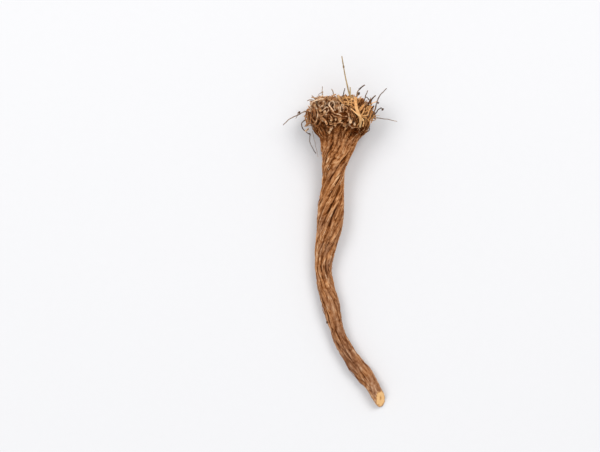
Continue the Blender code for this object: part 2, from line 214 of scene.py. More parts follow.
def bark_relief(strand_angle, where, centre, width, down):
    """(relief in metres, shade from 0 in the darkest slit to 1 on a clean ridge). The shade includes painted
    shade in the furrows and under the crown.
    """
    cos, sin = math.cos(strand_angle), math.sin(strand_angle)
    share = np.interp(where, *FURROW_SHARES)
    furrow = furrow_depth(cos, sin, where, centre, width) * share
    slip = SLIP[2] * grain_noise(SLIP, cos, sin, width, down, 91)
    slip += SMALL_SLIP[2] * grain_noise(SMALL_SLIP, cos, sin, width, down, 13)
    slipped = strand_angle + slip / width
    cos, sin = math.cos(slipped), math.sin(slipped)
    gate = noise.noise(Vector((3.3 * cos, 3.3 * sin, 11 + down / GROOVE_LENGTH)))
    strand = strand_shape(slipped, where)
    groove = 1 - strand
    bundle = ridged(grain_noise(BUNDLE, cos, sin, width, down, 3))
    fibre = ridged(grain_noise(FIBRE, cos, sin, width, down, 41))
    thread = grain_noise(THREAD, cos, sin, width, down, 17)
    flake = grain_noise(FLAKE, cos, sin, width, down, 57)
    plate = ramp(flake, 0.0, 0.09) - 0.5
    slit = max(0.0, 1 - abs(grain_noise(SLIT, cos, sin, width, down, 31)) / SLIT_EDGE)
    slit *= ramp(flake, -0.2, 0.15)
    line = max(0.0, 1 - abs(grain_noise(LINE, cos, sin, width, down, 73)) / LINE_EDGE)
    line *= ramp(gate, -0.15, 0.15)
    wrinkle = grain_noise(WRINKLE, cos, sin, width, down, 5) * ramp(-flake, -0.1, 0.2)
    raised = furrow * (strand - 0.75) + lumps(cos, sin, centre, width)
    raised -= GROOVE_GATE * gate * groove * furrow
    raised += BUNDLE[2] * bundle + FIBRE[2] * fibre + THREAD[2] * thread + FLAKE[2] * plate
    raised += LINE[2] * line + WRINKLE[2] * wrinkle - SLIT[2] * slit
    streaks = 0.34 * line + 0.08 * bundle + 0.14 * fibre + 0.28 * thread + 0.12 * plate + 0.22 * wrinkle
    # The furrows' darkening is partly the bark's own colour and partly painted shade.
    shade = PLAIN_SHADE - FURROW_SHADE * share * groove * (1 + 1.3 * gate) - SLIT_SHADE * slit
    shade += streaks * (CALM_STREAKS + (1 - CALM_STREAKS) * share if streaks > 0 else 1)
    # Painted shade: the bark is darkened under the crown, and further down on its left side.
    left = LEFT_PAINTED_SHADE * ramp(-cos, 0.2, 0.9)
    shade *= PAINTED_SHADE_UNDER_CROWN + (1 - PAINTED_SHADE_UNDER_CROWN) * ramp(where - left, *PAINTED_SHADE_FADE)
    return raised, min(1.0, max(0.0, shade))


def even_places(count):
    """Places along the stations at even steps over the surface, with the distance down the centreline."""
    fine = [LAST * k / 4000 for k in range(4001)]
    reach, down = [0.0], [0.0]
    before, before_width, _, _ = station(0)
    for where in fine[1:]:
        centre, width, _, _ = station(where)
        step = (centre - before).length
        down.append(down[-1] + step)
        reach.append(reach[-1] + math.hypot(step, width - before_width))
        before, before_width = centre, width
    wanted = np.linspace(0, reach[-1], count)
    return list(zip(np.interp(wanted, reach, fine), np.interp(wanted, reach, down)))


def number_at_points(obj, name, values):
    obj.data.attributes.new(name, "FLOAT", "POINT").data.foreach_set("value", values)


def mesh_piece(name, points, faces, looks):
    mesh = bpy.data.meshes.new(name)
    mesh.from_pydata([tuple(point) for point in points], [], faces)
    mesh.validate()
    mesh.shade_smooth()
    for look in looks:
        mesh.materials.append(look)
    obj = bpy.data.objects.new(name, mesh)
    bpy.context.scene.collection.objects.link(obj)
    return obj


def smooth_route(points, steps):
    """The points joined by a smooth curve, with so many steps in each stretch."""
    route = []
    last = len(points) - 1
    for i in range(last):
        row = [points[max(0, min(last, i + k))] for k in (-1, 0, 1, 2)]
        route += [catmull_rom(*row, k / steps) for k in range(steps)]
    return route + [points[-1]]


def astray(draw):
    return Vector((draw.uniform(-1, 1), draw.uniform(-1, 1), draw.uniform(-1, 1)))


def some_tint(draw, middle, spread):
    return min(1.0, max(0.0, draw.gauss(middle, spread)))


def crown_tint(draw, middle, foot):
    """A random tint for what grows at that foot on the crown, with painted light that makes its left side
    paler.
    """
    return some_tint(draw, middle + LEFT_PAINTED_LIGHT * ramp(-foot.x, *LEFT_PAINTED_LIGHT_FROM), 0.2)


def above_floor(route, radii):
    for point, radius in zip(route, radii):
        point.z = max(point.z, radius + FLOOR_GAP)
    return route


class Heap:
    """Vertices and faces of many small shapes, gathered into one mesh with numbers at each vertex."""

    def __init__(self):
        self.points = []
        self.faces = []
        self.looks = []
        self.tints = []
        self.tips = []

    def ring(self, centre, along, across, radius, sides, rib, phase, tint, tip):
        over = along.cross(across)
        for j in range(sides):
            turn = TURN * j / sides
            out = radius * (1 + rib * math.cos(5 * turn + phase) + 0.6 * rib * math.cos(3 * turn - phase))
            self.points.append(centre + (across * math.cos(turn) + over * math.sin(turn)) * out)
            self.tints.append(tint)
            self.tips.append(tip)

    def sweep(self, route, radii, sides, tint, rib=0.0, phase=0.0, broken=False, foot_tip=0.0):
        """A closed tube along a route. A broken one ends in a hollowed face, in the second look."""
        across = Vector((0.31, 0.22, 0.93))
        base = len(self.points)
        last = len(route) - 1
        for k, (point, radius) in enumerate(zip(route, radii)):
            along = (route[min(k + 1, last)] - route[max(k - 1, 0)]).normalized()
            across = (across - along * across.dot(along)).normalized()
            # The tip number runs from the foot to the end and sets the painted shade at the foot; foot_tip
            # is its least value.
            self.ring(point, along, across, radius, sides, rib, phase, tint, max(foot_tip, k / last))
        rings = last
        if broken:
            hollow = route[-1] - along * 0.25 * radii[-1]
            self.ring(hollow, along, across, 0.66 * radii[-1], sides, rib, phase, tint, 1.0)
            rings += 1
        for k in range(rings):
            for j in range(sides):
                a, b = base + k * sides + j, base + k * sides + (j + 1) % sides
                self.faces.append((a, b, b + sides, a + sides))
                self.looks.append(1 if k == last else 0)
        self.faces.append(tuple(base + j for j in reversed(range(sides))))
        self.faces.append(tuple(base + rings * sides + j for j in range(sides)))
        self.looks += [0, 1 if broken else 0]

    def leaf(self, foot, heading, across, length, width, cup, thick, tint, rows=7, columns=5):
        """A thin papery scale: an oval sheet that is cupped across and curls along its length."""
        over = heading.cross(across).normalized()
        base = len(self.points)
        for side in (1, -1):
            for i in range(rows):
                t = i / (rows - 1)
                half = width * (0.35 + 1.5 * t - 1.55 * t * t)
                for j in range(columns):
                    s = 2 * j / (columns - 1) - 1
                    crimp = 0.12 * width * math.cos(7 * t + 4 * s + 40 * tint)
                    bow = cup * width * s * s + 0.5 * cup * length * t * t + crimp
                    point = foot + heading * (length * t) + across * (half * s)
                    point += over * (bow + side * 0.5 * thick)
                    point.z = max(point.z, FLOOR_GAP * (2 + side))
                    self.points.append(point)
                    self.tints.append(tint)
                    # The sheet's foot and middle get the painted shade of the stem look, its tip and rims
                    # none.
                    self.tips.append(max(t, abs(s)) ** 2)
        count = rows * columns
        for i in range(rows - 1):
            for j in range(columns - 1):
                a = base + i * columns + j
                quad = (a, a + 1, a + 1 + columns, a + columns)
                self.faces.append(quad)
                self.faces.append(tuple(k + count for k in reversed(quad)))
        rim = [base + j for j in range(columns)]
        rim += [base + i * columns + columns - 1 for i in range(1, rows)]
        rim += [base + (rows - 1) * columns + j for j in range(columns - 2, -1, -1)]
        rim += [base + i * columns for i in range(rows - 2, 0, -1)]
        for a, b in zip(rim, rim[1:] + rim[:1]):
            self.faces.append((b, a, a + count, b + count))
        self.looks += [0] * (2 * (rows - 1) * (columns - 1) + len(rim))

    def build(self, name, *looks):
        obj = mesh_piece(name, self.points, self.faces, looks)
        obj.data.polygons.foreach_set("material_index", self.looks)
        number_at_points(obj, "tint", self.tints)
        number_at_points(obj, "tip", self.tips)
        obj.data.set_sharp_from_angle(angle=SHARP_ANGLE)
        return obj


# Materials


class Nodes:
    """Short calls for a material's node tree."""

    def __init__(self, name, roughness, specular):
        self.material = bpy.data.materials.new(name)
        self.material.use_nodes = True
        self.tree = self.material.node_tree
        self.shader = self.tree.nodes["Principled BSDF"]
        self.shader.inputs["Roughness"].default_value = roughness
        self.shader.inputs["Specular IOR Level"].default_value = specular

    def add(self, kind, **settings):
        node = self.tree.nodes.new(kind)
        for key, value in settings.items():
            setattr(node, key, value)
        return node

    def link(self, source, target):
        self.tree.links.new(source, target)

    def attribute(self, name):
        return self.add("ShaderNodeAttribute", attribute_name=name)

    def place(self):
        return self.add("ShaderNodeTexCoord").outputs["Object"]

    def noise(self, vector, scale, detail=4.0, roughness=0.55, stretch=None):
        if stretch:
            mapping = self.add("ShaderNodeMapping")
            mapping.inputs["Scale"].default_value = stretch
            self.link(vector, mapping.inputs["Vector"])
            vector = mapping.outputs["Vector"]
        node = self.add("ShaderNodeTexNoise")
        node.inputs["Scale"].default_value = scale
        node.inputs["Detail"].default_value = detail
        node.inputs["Roughness"].default_value = roughness
        self.link(vector, node.inputs["Vector"])
        return node.outputs["Fac"]

    def math(self, operation, first, second, clamp=False):
        node = self.add("ShaderNodeMath", operation=operation, use_clamp=clamp)
        for socket, value in zip(node.inputs, (first, second)):
            if isinstance(value, (int, float)):
                socket.default_value = value
            else:
                self.link(value, socket)
        return node.outputs["Value"]

    def spread(self, value, low, high, to_low=0.0, to_high=1.0):
        node = self.add("ShaderNodeMapRange")
        for name, number in (("From Min", low), ("From Max", high), ("To Min", to_low), ("To Max", to_high)):
            node.inputs[name].default_value = number
        self.link(value, node.inputs["Value"])
        return node.outputs["Result"]

    def ramp(self, value, stops):
        node = self.add("ShaderNodeValToRGB")
        ramp_stops = node.color_ramp.elements
        while len(ramp_stops) < len(stops):
            ramp_stops.new(0.5)
        for stop, (position, colour) in zip(ramp_stops, stops):
            stop.position = position
            stop.color = (*colour, 1)
        self.link(value, node.inputs["Fac"])
        return node.outputs["Color"]

    def mix(self, factor, first, second, blend="MIX"):
        node = self.add("ShaderNodeMix", data_type="RGBA", blend_type=blend)
        for socket, value in zip((node.inputs[0], node.inputs[6], node.inputs[7]), (factor, first, second)):
            if isinstance(value, (int, float)):
                socket.default_value = value
            elif isinstance(value, tuple):
                socket.default_value = (*value, 1)
            else:
                self.link(value, socket)
        return node.outputs[2]

    def grey(self, value):
        node = self.add("ShaderNodeCombineColor")
        for socket in node.inputs[:3]:
            self.link(value, socket)
        return node.outputs["Color"]

    def colour(self, value):
        self.link(value, self.shader.inputs["Base Color"])

    def roughness(self, value):
        self.link(value, self.shader.inputs["Roughness"])

    def bump(self, height, distance, strength):
        node = self.add("ShaderNodeBump")
        node.inputs["Distance"].default_value = distance
        node.inputs["Strength"].default_value = strength
        self.link(height, node.inputs["Height"])
        self.link(node.outputs["Normal"], self.shader.inputs["Normal"])


WARM_BARK = (
    (0.0, (0.075, 0.017, 0.002)), (0.22, (0.220, 0.070, 0.015)), (0.48, (0.425, 0.181, 0.068)),
    (0.72, (0.570, 0.290, 0.130)), (1.0, (0.820, 0.545, 0.330)),
)
GREY_BARK = (
    (0.0, (0.070, 0.020, 0.006)), (0.22, (0.160, 0.059, 0.022)), (0.48, (0.266, 0.118, 0.055)),
    (0.72, (0.362, 0.184, 0.098)), (1.0, (0.580, 0.380, 0.240)),
)
BROWN_STEM = (
    (0.0, (0.058, 0.011, 0.001)), (0.25, (0.175, 0.049, 0.010)), (0.5, (0.350, 0.138, 0.048)),
    (0.75, (0.550, 0.290, 0.138)), (1.0, (0.830, 0.590, 0.390)),
)
GOLD_STEM = (
    (0.0, (0.260, 0.095, 0.024)), (0.35, (0.520, 0.240, 0.080)), (0.7, (0.800, 0.430, 0.175)),
    (1.0, (0.960, 0.620, 0.300)),
)
OLIVE_STEM = (
    (0.0, (0.130, 0.080, 0.035)), (0.5, (0.340, 0.235, 0.120)), (1.0, (0.580, 0.420, 0.220)),
)
DARK_STEM = (
    (0.0, (0.050, 0.028, 0.018)), (0.5, (0.190, 0.120, 0.080)), (1.0, (0.500, 0.350, 0.230)),
)
BROKEN_END = (
    (0.0, (0.090, 0.032, 0.010)), (0.35, (0.270, 0.125, 0.048)), (0.7, (0.520, 0.290, 0.130)),
    (1.0, (0.760, 0.500, 0.280)),
)
CUT_WOOD = (
    (0.0, (0.440, 0.175, 0.045)), (0.13, (0.640, 0.320, 0.100)), (0.26, (0.860, 0.515, 0.220)),
    (0.74, (0.880, 0.530, 0.225)), (0.90, (0.620, 0.320, 0.120)), (1.0, (0.330, 0.150, 0.060)),
)
PAPER = ((0.0, (0.722, 0.722, 0.735)), (1.0, (0.734, 0.734, 0.747)))


def bark_look():
    """Dry furrowed bark: dark in the slits, warm on the ridges, greyer towards the thin end. Its shade
    attribute carries painted shade in the furrows and under the crown.
    """
    look = Nodes("bark", 0.78, 0.05)
    grain = look.attribute("grain").outputs["Vector"]
    shade = look.attribute("shade").outputs["Fac"]
    down = look.attribute("down").outputs["Fac"]
    streak = look.noise(grain, 1.5, detail=6, roughness=0.7, stretch=(1, 1, 0.16))
    blotch = look.noise(grain, 0.17, detail=3, stretch=(1, 1, 0.5))
    crumb = look.noise(look.place(), 1700, detail=3, roughness=0.7)
    level = look.math("ADD", shade, look.spread(streak, 0.3, 0.7, -0.24, 0.24))
    level = look.math("ADD", level, look.spread(crumb, 0.3, 0.7, -0.10, 0.10))
    level = look.math("ADD", level, look.spread(down, 0.87, 0.97, 0.0, 0.40), clamp=True)
    share = look.spread(blotch, 0.35, 0.65, -0.55, 0.55)
    share = look.math("ADD", look.spread(down, 0.25, 0.75), share, clamp=True)
    look.colour(look.mix(share, look.ramp(level, WARM_BARK), look.ramp(level, GREY_BARK)))
    look.roughness(look.spread(level, 0.0, 1.0, 0.9, 0.6))
    fine = look.noise(grain, 5.0, detail=5, roughness=0.7, stretch=(1, 1, 0.15))
    look.bump(look.math("ADD", fine, look.math("MULTIPLY", crumb, 0.5)), 0.00016, 0.9)
    return look.material


def stem_look(name, stops, painted_foot_shade):
    """Dry stems and scales: each has its own tint, is streaked along its length and is painted darker
    towards its foot, as shade down among the crown's stems.
    """
    look = Nodes(name, 0.78, 0.02)
    place = look.place()
    streak = look.noise(place, 900, detail=4, roughness=0.65)
    blotch = look.noise(place, 300, detail=3)
    tint = look.attribute("tint").outputs["Fac"]
    level = look.math("ADD", tint, look.spread(streak, 0.3, 0.7, -0.26, 0.26))
    level = look.math("ADD", level, look.spread(blotch, 0.3, 0.7, -0.22, 0.22), clamp=True)
    # Painted shade: darker towards the foot, where a piece goes down into the crown; the argument gives how
    # dark the foot is.
    painted_foot_shade_factor = look.spread(look.attribute("tip").outputs["Fac"], 0.0, 0.75, painted_foot_shade, 1.0)
    look.colour(look.mix(1.0, look.ramp(level, stops), look.grey(painted_foot_shade_factor), "MULTIPLY"))
    look.bump(streak, 0.00012, 0.8)
    return look.material


def mottled_look(name, attribute, stops, scale, strength):
    """Broken or cut wood: a ramp over the piece's own numbers, with mottling."""
    look = Nodes(name, 0.7, 0.2)
    mottle = look.noise(look.place(), scale, detail=5, roughness=0.68)
    level = look.attribute(attribute).outputs["Fac"]
    level = look.math("ADD", level, look.spread(mottle, 0.3, 0.7, -strength, strength), clamp=True)
    look.colour(look.ramp(level, stops))
    look.bump(mottle, 0.0002, 0.8)
    return look.material


def floor_look():
    look = Nodes("paper", 0.8, 0.1)
    look.colour(look.ramp(look.noise(look.place(), 240, detail=3), PAPER))
    return look.material


# The root


def root_piece(bark):
    points, shades, downs, grains = [], [], [], []
    places = even_places(ROOT_RINGS)
    total = places[-1][1]
    for where, down in places:
        section = section_frame(where)
        centre, width, depth, twist = station(where)
        for k in range(ROOT_SIDES):
            strand_angle = TURN * k / ROOT_SIDES
            raised, shade = bark_relief(strand_angle, where, centre, width, down)
            angle = turned_angle(strand_angle, centre, twist)
            points.append(on_section(section, raised, width, depth, angle))
            shades.append(shade)
            downs.append(down / total)
            grains += (width * math.cos(strand_angle) / MM, width * math.sin(strand_angle) / MM, down / MM)
    faces = [tuple(reversed(range(ROOT_SIDES)))]
    for i in range(ROOT_RINGS - 1):
        for k in range(ROOT_SIDES):
            a, b = i * ROOT_SIDES + k, i * ROOT_SIDES + (k + 1) % ROOT_SIDES
            faces.append((a, b, b + ROOT_SIDES, a + ROOT_SIDES))
    faces.append(tuple((ROOT_RINGS - 1) * ROOT_SIDES + k for k in range(ROOT_SIDES)))
    obj = mesh_piece("furrowed_root", points, faces, [bark])
    number_at_points(obj, "shade", shades)
    number_at_points(obj, "down", downs)
    obj.data.attributes.new("grain", "FLOAT_VECTOR", "POINT").data.foreach_set("vector", grains)
    return obj


def cut_off(obj):
    """Cuts the root slantwise at its thin end, closes it and gives the outline of the cut."""
    bm = bmesh.new()
    bm.from_mesh(obj.data)
    everything = bm.verts[:] + bm.edges[:] + bm.faces[:]
    bmesh.ops.bisect_plane(bm, geom=everything, plane_co=CUT_POINT, plane_no=CUT_NORMAL, clear_outer=True)
    rim = [edge for edge in bm.edges if edge.is_boundary]
    unused = set(rim[1:])
    outline = [rim[0].verts[0], rim[0].verts[1]]
    while unused:
        edge = next((edge for edge in outline[-1].link_edges if edge in unused), None)
        if edge is None:
            break
        unused.discard(edge)
        outline.append(edge.other_vert(outline[-1]))
    outline = [vert.co.copy() for vert in outline[:-1]]
    bmesh.ops.holes_fill(bm, edges=rim)
    bmesh.ops.recalc_face_normals(bm, faces=bm.faces)
    bm.to_mesh(obj.data)
    bm.free()
    obj.data.set_sharp_from_angle(angle=SHARP_ANGLE)
    return outline


def cut_face(outline, wood):
    """The pale face of the cut: a thin lid with rings round an off-centre pith, and a rough surface."""
    middle = sum(outline, Vector()) / len(outline)
    pith = middle + PITH_OFFSET - CUT_NORMAL * PITH_OFFSET.dot(CUT_NORMAL)
    points, rings = [], []
    for share in CUT_SHARES:
        for point in outline:
            flat = pith + (point - pith) * share
            rough = 0.14 * noise.noise(flat * 900) + 0.22 * noise.noise(flat * 300)
            lift = 0.05 if share == 1.0 else 0.18 + rough * (1 - share) ** 0.3
            points.append(flat + CUT_NORMAL * lift * MM)
            rings.append(share * 0.96 + 0.03 * math.sin(share * 40))
    points.append(pith + CUT_NORMAL * 0.08 * MM)
    rings.append(0.0)
    count = len(outline)
    bottom = len(points)
    for point in outline:
        points.append(point - CUT_NORMAL * 0.1 * MM)
        rings.append(1.0)
    faces = []
    for i in range(len(CUT_SHARES) - 1):
        for k in range(count):
            a, b = i * count + k, i * count + (k + 1) % count
            faces.append((a, b, b + count, a + count))
    inner = (len(CUT_SHARES) - 1) * count
    for k in range(count):
        faces.append((inner + k, inner + (k + 1) % count, bottom - 1))
        faces.append((bottom + k, bottom + (k + 1) % count, (k + 1) % count, k))
    faces.append(tuple(bottom + k for k in reversed(range(count))))
    obj = mesh_piece("cut_face", points, faces, [wood])
    number_at_points(obj, "ring", rings)
    return obj


# Places on the crown

CROWN_EDGE = 69.0 * MM  # beyond this y, what lies over the crown keeps the height that it has there
CROWN_ROWS = [station(1 + 0.05 * k) for k in range(round((CROWN_SKIRT - 1) / 0.05) + 1)]
SKIRT_Y = 57.8 * MM  # no stem starts lower than this at the crown's middle
SKIRT_RISE = (0.014, 0.018)  # to the left and right the line rises by this times x squared, in millimetres

# The rounded mass that the crown's random stems fill. A higher power makes it squarer.
MASS_MIDDLE =Vector((0.0, 62.5, 13.0)) * MM
MASS_HALF_WIDTH = 19.6 * MM
MASS_HALF_DEPTH = 17.2 * MM
MASS_HEIGHT = 13.2 * MM
MASS_POWER = 3.2
MASS_SLACK = (0.95, 1.2)  # some stems may stand out further than others


def crown_height(x, y):
    """Z of the crown's plain upper surface over (x, y)."""
    centre, width, depth, _ = min(CROWN_ROWS, key=lambda row: abs(row[0].y - y))
    share = min(abs(x - centre.x) / width, 0.97)
    return centre.z + depth * math.sqrt(1 - share * share)


def over_crown(knot):
    """The point over the crown for (x, y, height over it) in millimetres."""
    x, y, lift = knot
    return Vector((x, y, lift)) * MM + Vector((0, 0, crown_height(x * MM, min(y * MM, CROWN_EDGE))))


def crown_table(steps=80):
    places = [CROWN_SKIRT * k / steps for k in range(steps + 1)]
    shares = [0.0]
    for upper, lower in zip(places, places[1:]):
        top_centre, top_width, _, _ = station(upper)
        centre, width, _, _ = station(lower)
        slant = math.hypot((centre - top_centre).length, width - top_width)
        shares.append(shares[-1] + slant * (top_width + width))
    return places, [share / shares[-1] for share in shares]


CROWN_PLACES, CROWN_SHARES = crown_table()


def crown_outward(angle, where):
    _, side, up = section_frame(where)
    top_centre, top_width, top_depth, _ = station(max(where - 0.1, 0.0))
    centre, width, depth, twist = station(where + 0.1)
    turn = angle + twist
    top = top_centre + side * top_width * math.cos(turn) + up * top_depth * math.sin(turn)
    down = centre + side * width * math.cos(turn) + up * depth * math.sin(turn) - top
    sideways = side * (-width * math.sin(turn)) + up * (depth * math.cos(turn))
    normal = sideways.cross(down).normalized()
    return normal * (1 if normal.dot(top - station(3)[0]) > 0 else -1)


def skirt_line(x):
    """The lowest y at which stems grow on the crown at x."""
    return SKIRT_Y + SKIRT_RISE[0 if x < 0 else 1] * x * x / MM


def stands_out(route, slack):
    """Whether a random stem leaves the crown's rounded mass, which the listed wisps may do."""
    for point in route:
        spread = math.hypot(point.x / MASS_HALF_WIDTH, (point.z - MASS_MIDDLE.z) / MASS_HALF_DEPTH)
        rise = max(0.0, point.y - MASS_MIDDLE.y) / MASS_HEIGHT
        if spread**MASS_POWER + rise**MASS_POWER > slack:
            return True
    return False


def crown_spots(count, draw, lowest):
    """(foot, outward) at even shares of the crown's surface, all round and over its top."""
    for index in range(count):
        share = (index + draw.uniform(0.1, 0.9)) / count
        where = float(np.interp(share, CROWN_SHARES, CROWN_PLACES))
        angle = (index * GOLDEN_ANGLE + draw.uniform(-0.4, 0.4)) % TURN
        foot = root_surface(angle, where)
        if foot.z > lowest and foot.y > skirt_line(foot.x):
            yield foot, crown_outward(angle, where)


class KeptClear:
    """Places on top of the crown that the random stems leave in view: what is given one by one, and hollows.
    """

    def __init__(self):
        self.spots = []

    def add(self, route, margin):
        self.spots += [(*point, margin) for point in route]

    def covered_by(self, route, radii):
        spots = np.array(self.spots)
        points = np.array([tuple(point) for point in route])
        sizes = np.array(radii)[:, None]
        apart = np.hypot(points[:, None, 0] - spots[None, :, 0], points[:, None, 1] - spots[None, :, 1])
        over = points[:, None, 2] + sizes > spots[None, :, 2]
        return bool(((apart < spots[None, :, 3] + sizes) & over).any())


HOLLOW_LIFT = -1.0  # the height over the crown, in millimetres, that stems reach in a hollow

# Hollows in the crown that look dark from above, where the bark below carries painted shade: (x, y, radius)
# in millimetres.
HOLLOWS = (
    (-7.6, 71.0, 1.6), (-7.3, 72.4, 1.0), (-4.2, 70.0, 1.0), (2.6, 66.6, 1.1), (0.6, 66.6, 0.7),
    (-3.0, 67.6, 0.6), (0.0, 70.4, 0.6), (-1.5, 67.4, 0.8), (9.9, 70.6, 0.8), (10.0, 72.2, 0.6),
    (-6.3, 61.6, 0.5), (3.0, 60.2, 0.7), (9.2, 61.4, 0.7), (-15.7, 63.2, 0.6), (-8.9, 67.0, 0.7),
    (11.6, 60.8, 0.5), (-12.4, 61.4, 0.6), (-1.7, 64.8, 0.7),
)

# Loops, curls and fibres on the crown, in millimetres: (radius, tint, points (x, y, height over the crown)).
LOOPS = (
    (0.40, 0.88, ((-3.4, 68.6, 2.3), (-3.0, 70.1, 2.9), (-3.5, 71.5, 3.1), (-4.7, 71.9, 3.2),
                  (-5.8, 71.1, 3.1), (-6.1, 69.8, 2.9), (-5.4, 68.4, 2.7), (-4.2, 67.1, 2.4),
                  (-3.4, 65.8, 1.6))),
    (0.34, 0.78, ((-3.2, 66.9, 1.0), (-2.8, 68.6, 2.6), (-1.9, 69.5, 3.0), (-1.1, 68.4, 2.9),
                  (-0.7, 66.6, 2.2), (-0.9, 65.4, 1.2))),
    (0.34, 0.82, ((-1.2, 71.6, 2.4), (-0.6, 69.4, 3.0), (0.0, 67.4, 2.6), (0.2, 65.8, 1.4))),
    (0.34, 0.80, ((0.1, 67.9, 1.2), (0.3, 69.4, 2.8), (1.1, 70.3, 3.0), (1.9, 69.4, 2.7), (1.7, 67.8, 1.8))),
    (0.30, 0.66, ((1.4, 66.0, 1.2), (1.9, 67.9, 2.6), (2.8, 68.8, 2.7), (3.8, 67.7, 2.3), (3.7, 65.8, 1.2))),
    (0.34, 0.74, ((-4.4, 66.4, 1.4), (-2.6, 65.2, 2.6), (-0.5, 64.3, 2.9), (1.6, 63.6, 2.6),
                  (3.4, 63.6, 1.4))),
    (0.30, 0.58, ((-4.8, 65.0, 1.2), (-3.2, 63.7, 2.2), (-1.2, 62.9, 2.4), (0.8, 62.4, 1.6),
                  (2.2, 62.6, 1.0))),
    (0.44, 0.74, ((-13.9, 69.6, 1.0), (-12.5, 67.4, 2.0), (-12.2, 64.6, 2.2), (-12.8, 61.8, 1.8),
                  (-13.9, 60.0, 1.0))),
    (0.40, 0.64, ((-14.2, 68.6, 1.0), (-15.6, 66.6, 1.7), (-15.9, 64.2, 1.7), (-15.0, 62.0, 1.5),
                  (-14.2, 60.8, 1.0))),
    (0.38, 0.60, ((-17.9, 60.6, 0.8), (-17.7, 63.8, 1.5), (-17.0, 66.2, 1.6), (-16.4, 64.2, 1.5),
                  (-16.2, 61.6, 1.2), (-16.6, 59.8, 0.6))),
    (0.42, 0.60, ((-18.2, 60.0, 0.4), (-19.0, 62.6, 0.9), (-18.7, 66.0, 0.9), (-17.4, 68.0, 0.8))),
    (0.42, 0.90, ((-8.8, 72.6, 2.4), (-9.2, 70.8, 2.8), (-10.0, 69.4, 2.6), (-11.2, 68.6, 1.4))),
    (0.32, 0.84, ((-10.0, 66.8, 1.4), (-8.8, 67.9, 2.6), (-7.4, 68.9, 2.8), (-6.8, 68.2, 1.6))),
    (0.36, 0.70, ((-10.9, 73.0, 2.2), (-8.6, 74.3, 2.8), (-6.2, 73.6, 3.0), (-4.2, 74.9, 2.9),
                  (-2.4, 75.9, 2.6))),
    (0.34, 0.62, ((-11.2, 75.2, 1.6), (-8.6, 74.0, 2.6), (-5.2, 72.3, 2.8), (-3.6, 71.9, 1.8))),
    (0.36, 0.86, ((-6.6, 73.4, 1.4), (-4.6, 74.4, 2.6), (-2.9, 75.9, 2.6))),
    (0.32, 0.72, ((-6.4, 67.2, 1.4), (-7.6, 65.6, 2.4), (-9.4, 64.6, 2.2), (-10.8, 62.6, 1.2))),
    (0.32, 0.64, ((-11.2, 65.2, 1.2), (-10.4, 63.0, 2.2), (-10.6, 60.8, 2.0), (-11.8, 59.4, 0.8))),
    (0.36, 0.48, ((-15.4, 60.6, 0.8), (-13.2, 58.8, 1.3), (-11.2, 56.8, 1.2), (-9.6, 54.2, 0.6))),
    (0.32, 0.40, ((-12.6, 59.0, 1.0), (-10.6, 57.8, 1.6), (-8.8, 55.6, 1.2), (-7.8, 53.0, 0.5))),
    (0.34, 0.60, ((4.6, 58.8, 1.2), (6.4, 57.5, 1.6), (8.6, 57.9, 1.8), (10.6, 57.4, 1.2))),
    (0.32, 0.70, ((-3.8, 58.6, 0.8), (-2.0, 59.6, 2.0), (-0.2, 60.4, 2.2), (1.6, 59.6, 1.6))),
    (0.34, 0.66, ((3.2, 66.4, 1.2), (4.4, 64.6, 2.4), (4.6, 62.6, 2.4), (3.8, 61.0, 1.4))),
    (0.30, 0.56, ((5.8, 66.2, 1.2), (6.6, 64.0, 2.2), (7.6, 62.4, 2.2), (8.4, 61.2, 1.2))),
    (0.30, 0.62, ((-8.0, 63.6, 1.0), (-6.4, 64.6, 2.2), (-5.0, 63.2, 2.4), (-4.4, 61.4, 1.4))),
    (0.42, 0.95, ((-16.2, 68.8, 1.2), (-15.8, 70.8, 2.2), (-14.2, 72.4, 3.4), (-12.0, 73.0, 4.0),
                  (-9.2, 73.5, 3.8))),
    (0.36, 0.95, ((-15.6, 74.4, 2.6), (-13.4, 73.9, 3.2), (-11.6, 74.3, 3.4), (-9.6, 75.0, 3.0))),
    (0.34, 0.76, ((-12.2, 70.8, 2.2), (-11.0, 72.2, 3.2), (-8.8, 73.2, 3.6), (-7.4, 74.6, 3.4))),
)
LOOP_FOOT_TIP = 0.5  # how much of their full colour the loops keep at the foot, under the painted shade there

# Cupped sheaths that face the camera: (foot, tip, half width, cup, tint) over the crown, in millimetres.
SHEATHS = (
    ((-13.8, 61.4, 0.4), (-14.2, 67.4, 1.6), 1.15, 0.8, 0.50),
    ((-17.0, 61.6, 0.2), (-17.4, 67.0, 0.8), 0.85, 0.7, 0.46),
    ((-5.4, 62.0, 0.6), (-6.6, 65.4, 2.2), 0.95, 0.8, 0.52),
    ((-0.6, 59.6, 0.8), (-0.8, 62.6, 2.2), 1.20, -0.5, 0.66),
    ((2.6, 61.4, 0.6), (1.4, 65.0, 1.8), 0.95, 0.8, 0.44),
    ((5.6, 63.2, 0.8), (4.8, 67.4, 2.2), 0.95, 0.8, 0.50),
    ((-10.8, 61.4, 0.4), (-12.0, 65.0, 1.4), 0.85, 0.8, 0.56),
    ((-2.4, 70.4, 1.0), (-4.2, 74.2, 2.6), 0.95, -0.6, 0.62),
    ((-10.4, 70.4, 0.8), (-12.8, 73.2, 1.6), 0.85, 0.7, 0.60),
    ((-14.6, 68.4, 0.4), (-16.6, 71.2, 0.8), 0.75, 0.6, 0.72),
    ((8.4, 60.6, 1.2), (7.2, 64.4, 2.2), 0.80, 0.8, 0.40),
    ((-8.0, 58.6, 0.4), (-8.8, 62.0, 1.6), 0.75, 0.8, 0.40),
    ((3.4, 57.6, 0.2), (4.2, 60.6, 1.6), 0.85, 0.8, 0.50),
    ((-7.4, 72.6, -0.6), (-6.0, 75.4, 1.2), 0.95, 0.6, 0.40),
)

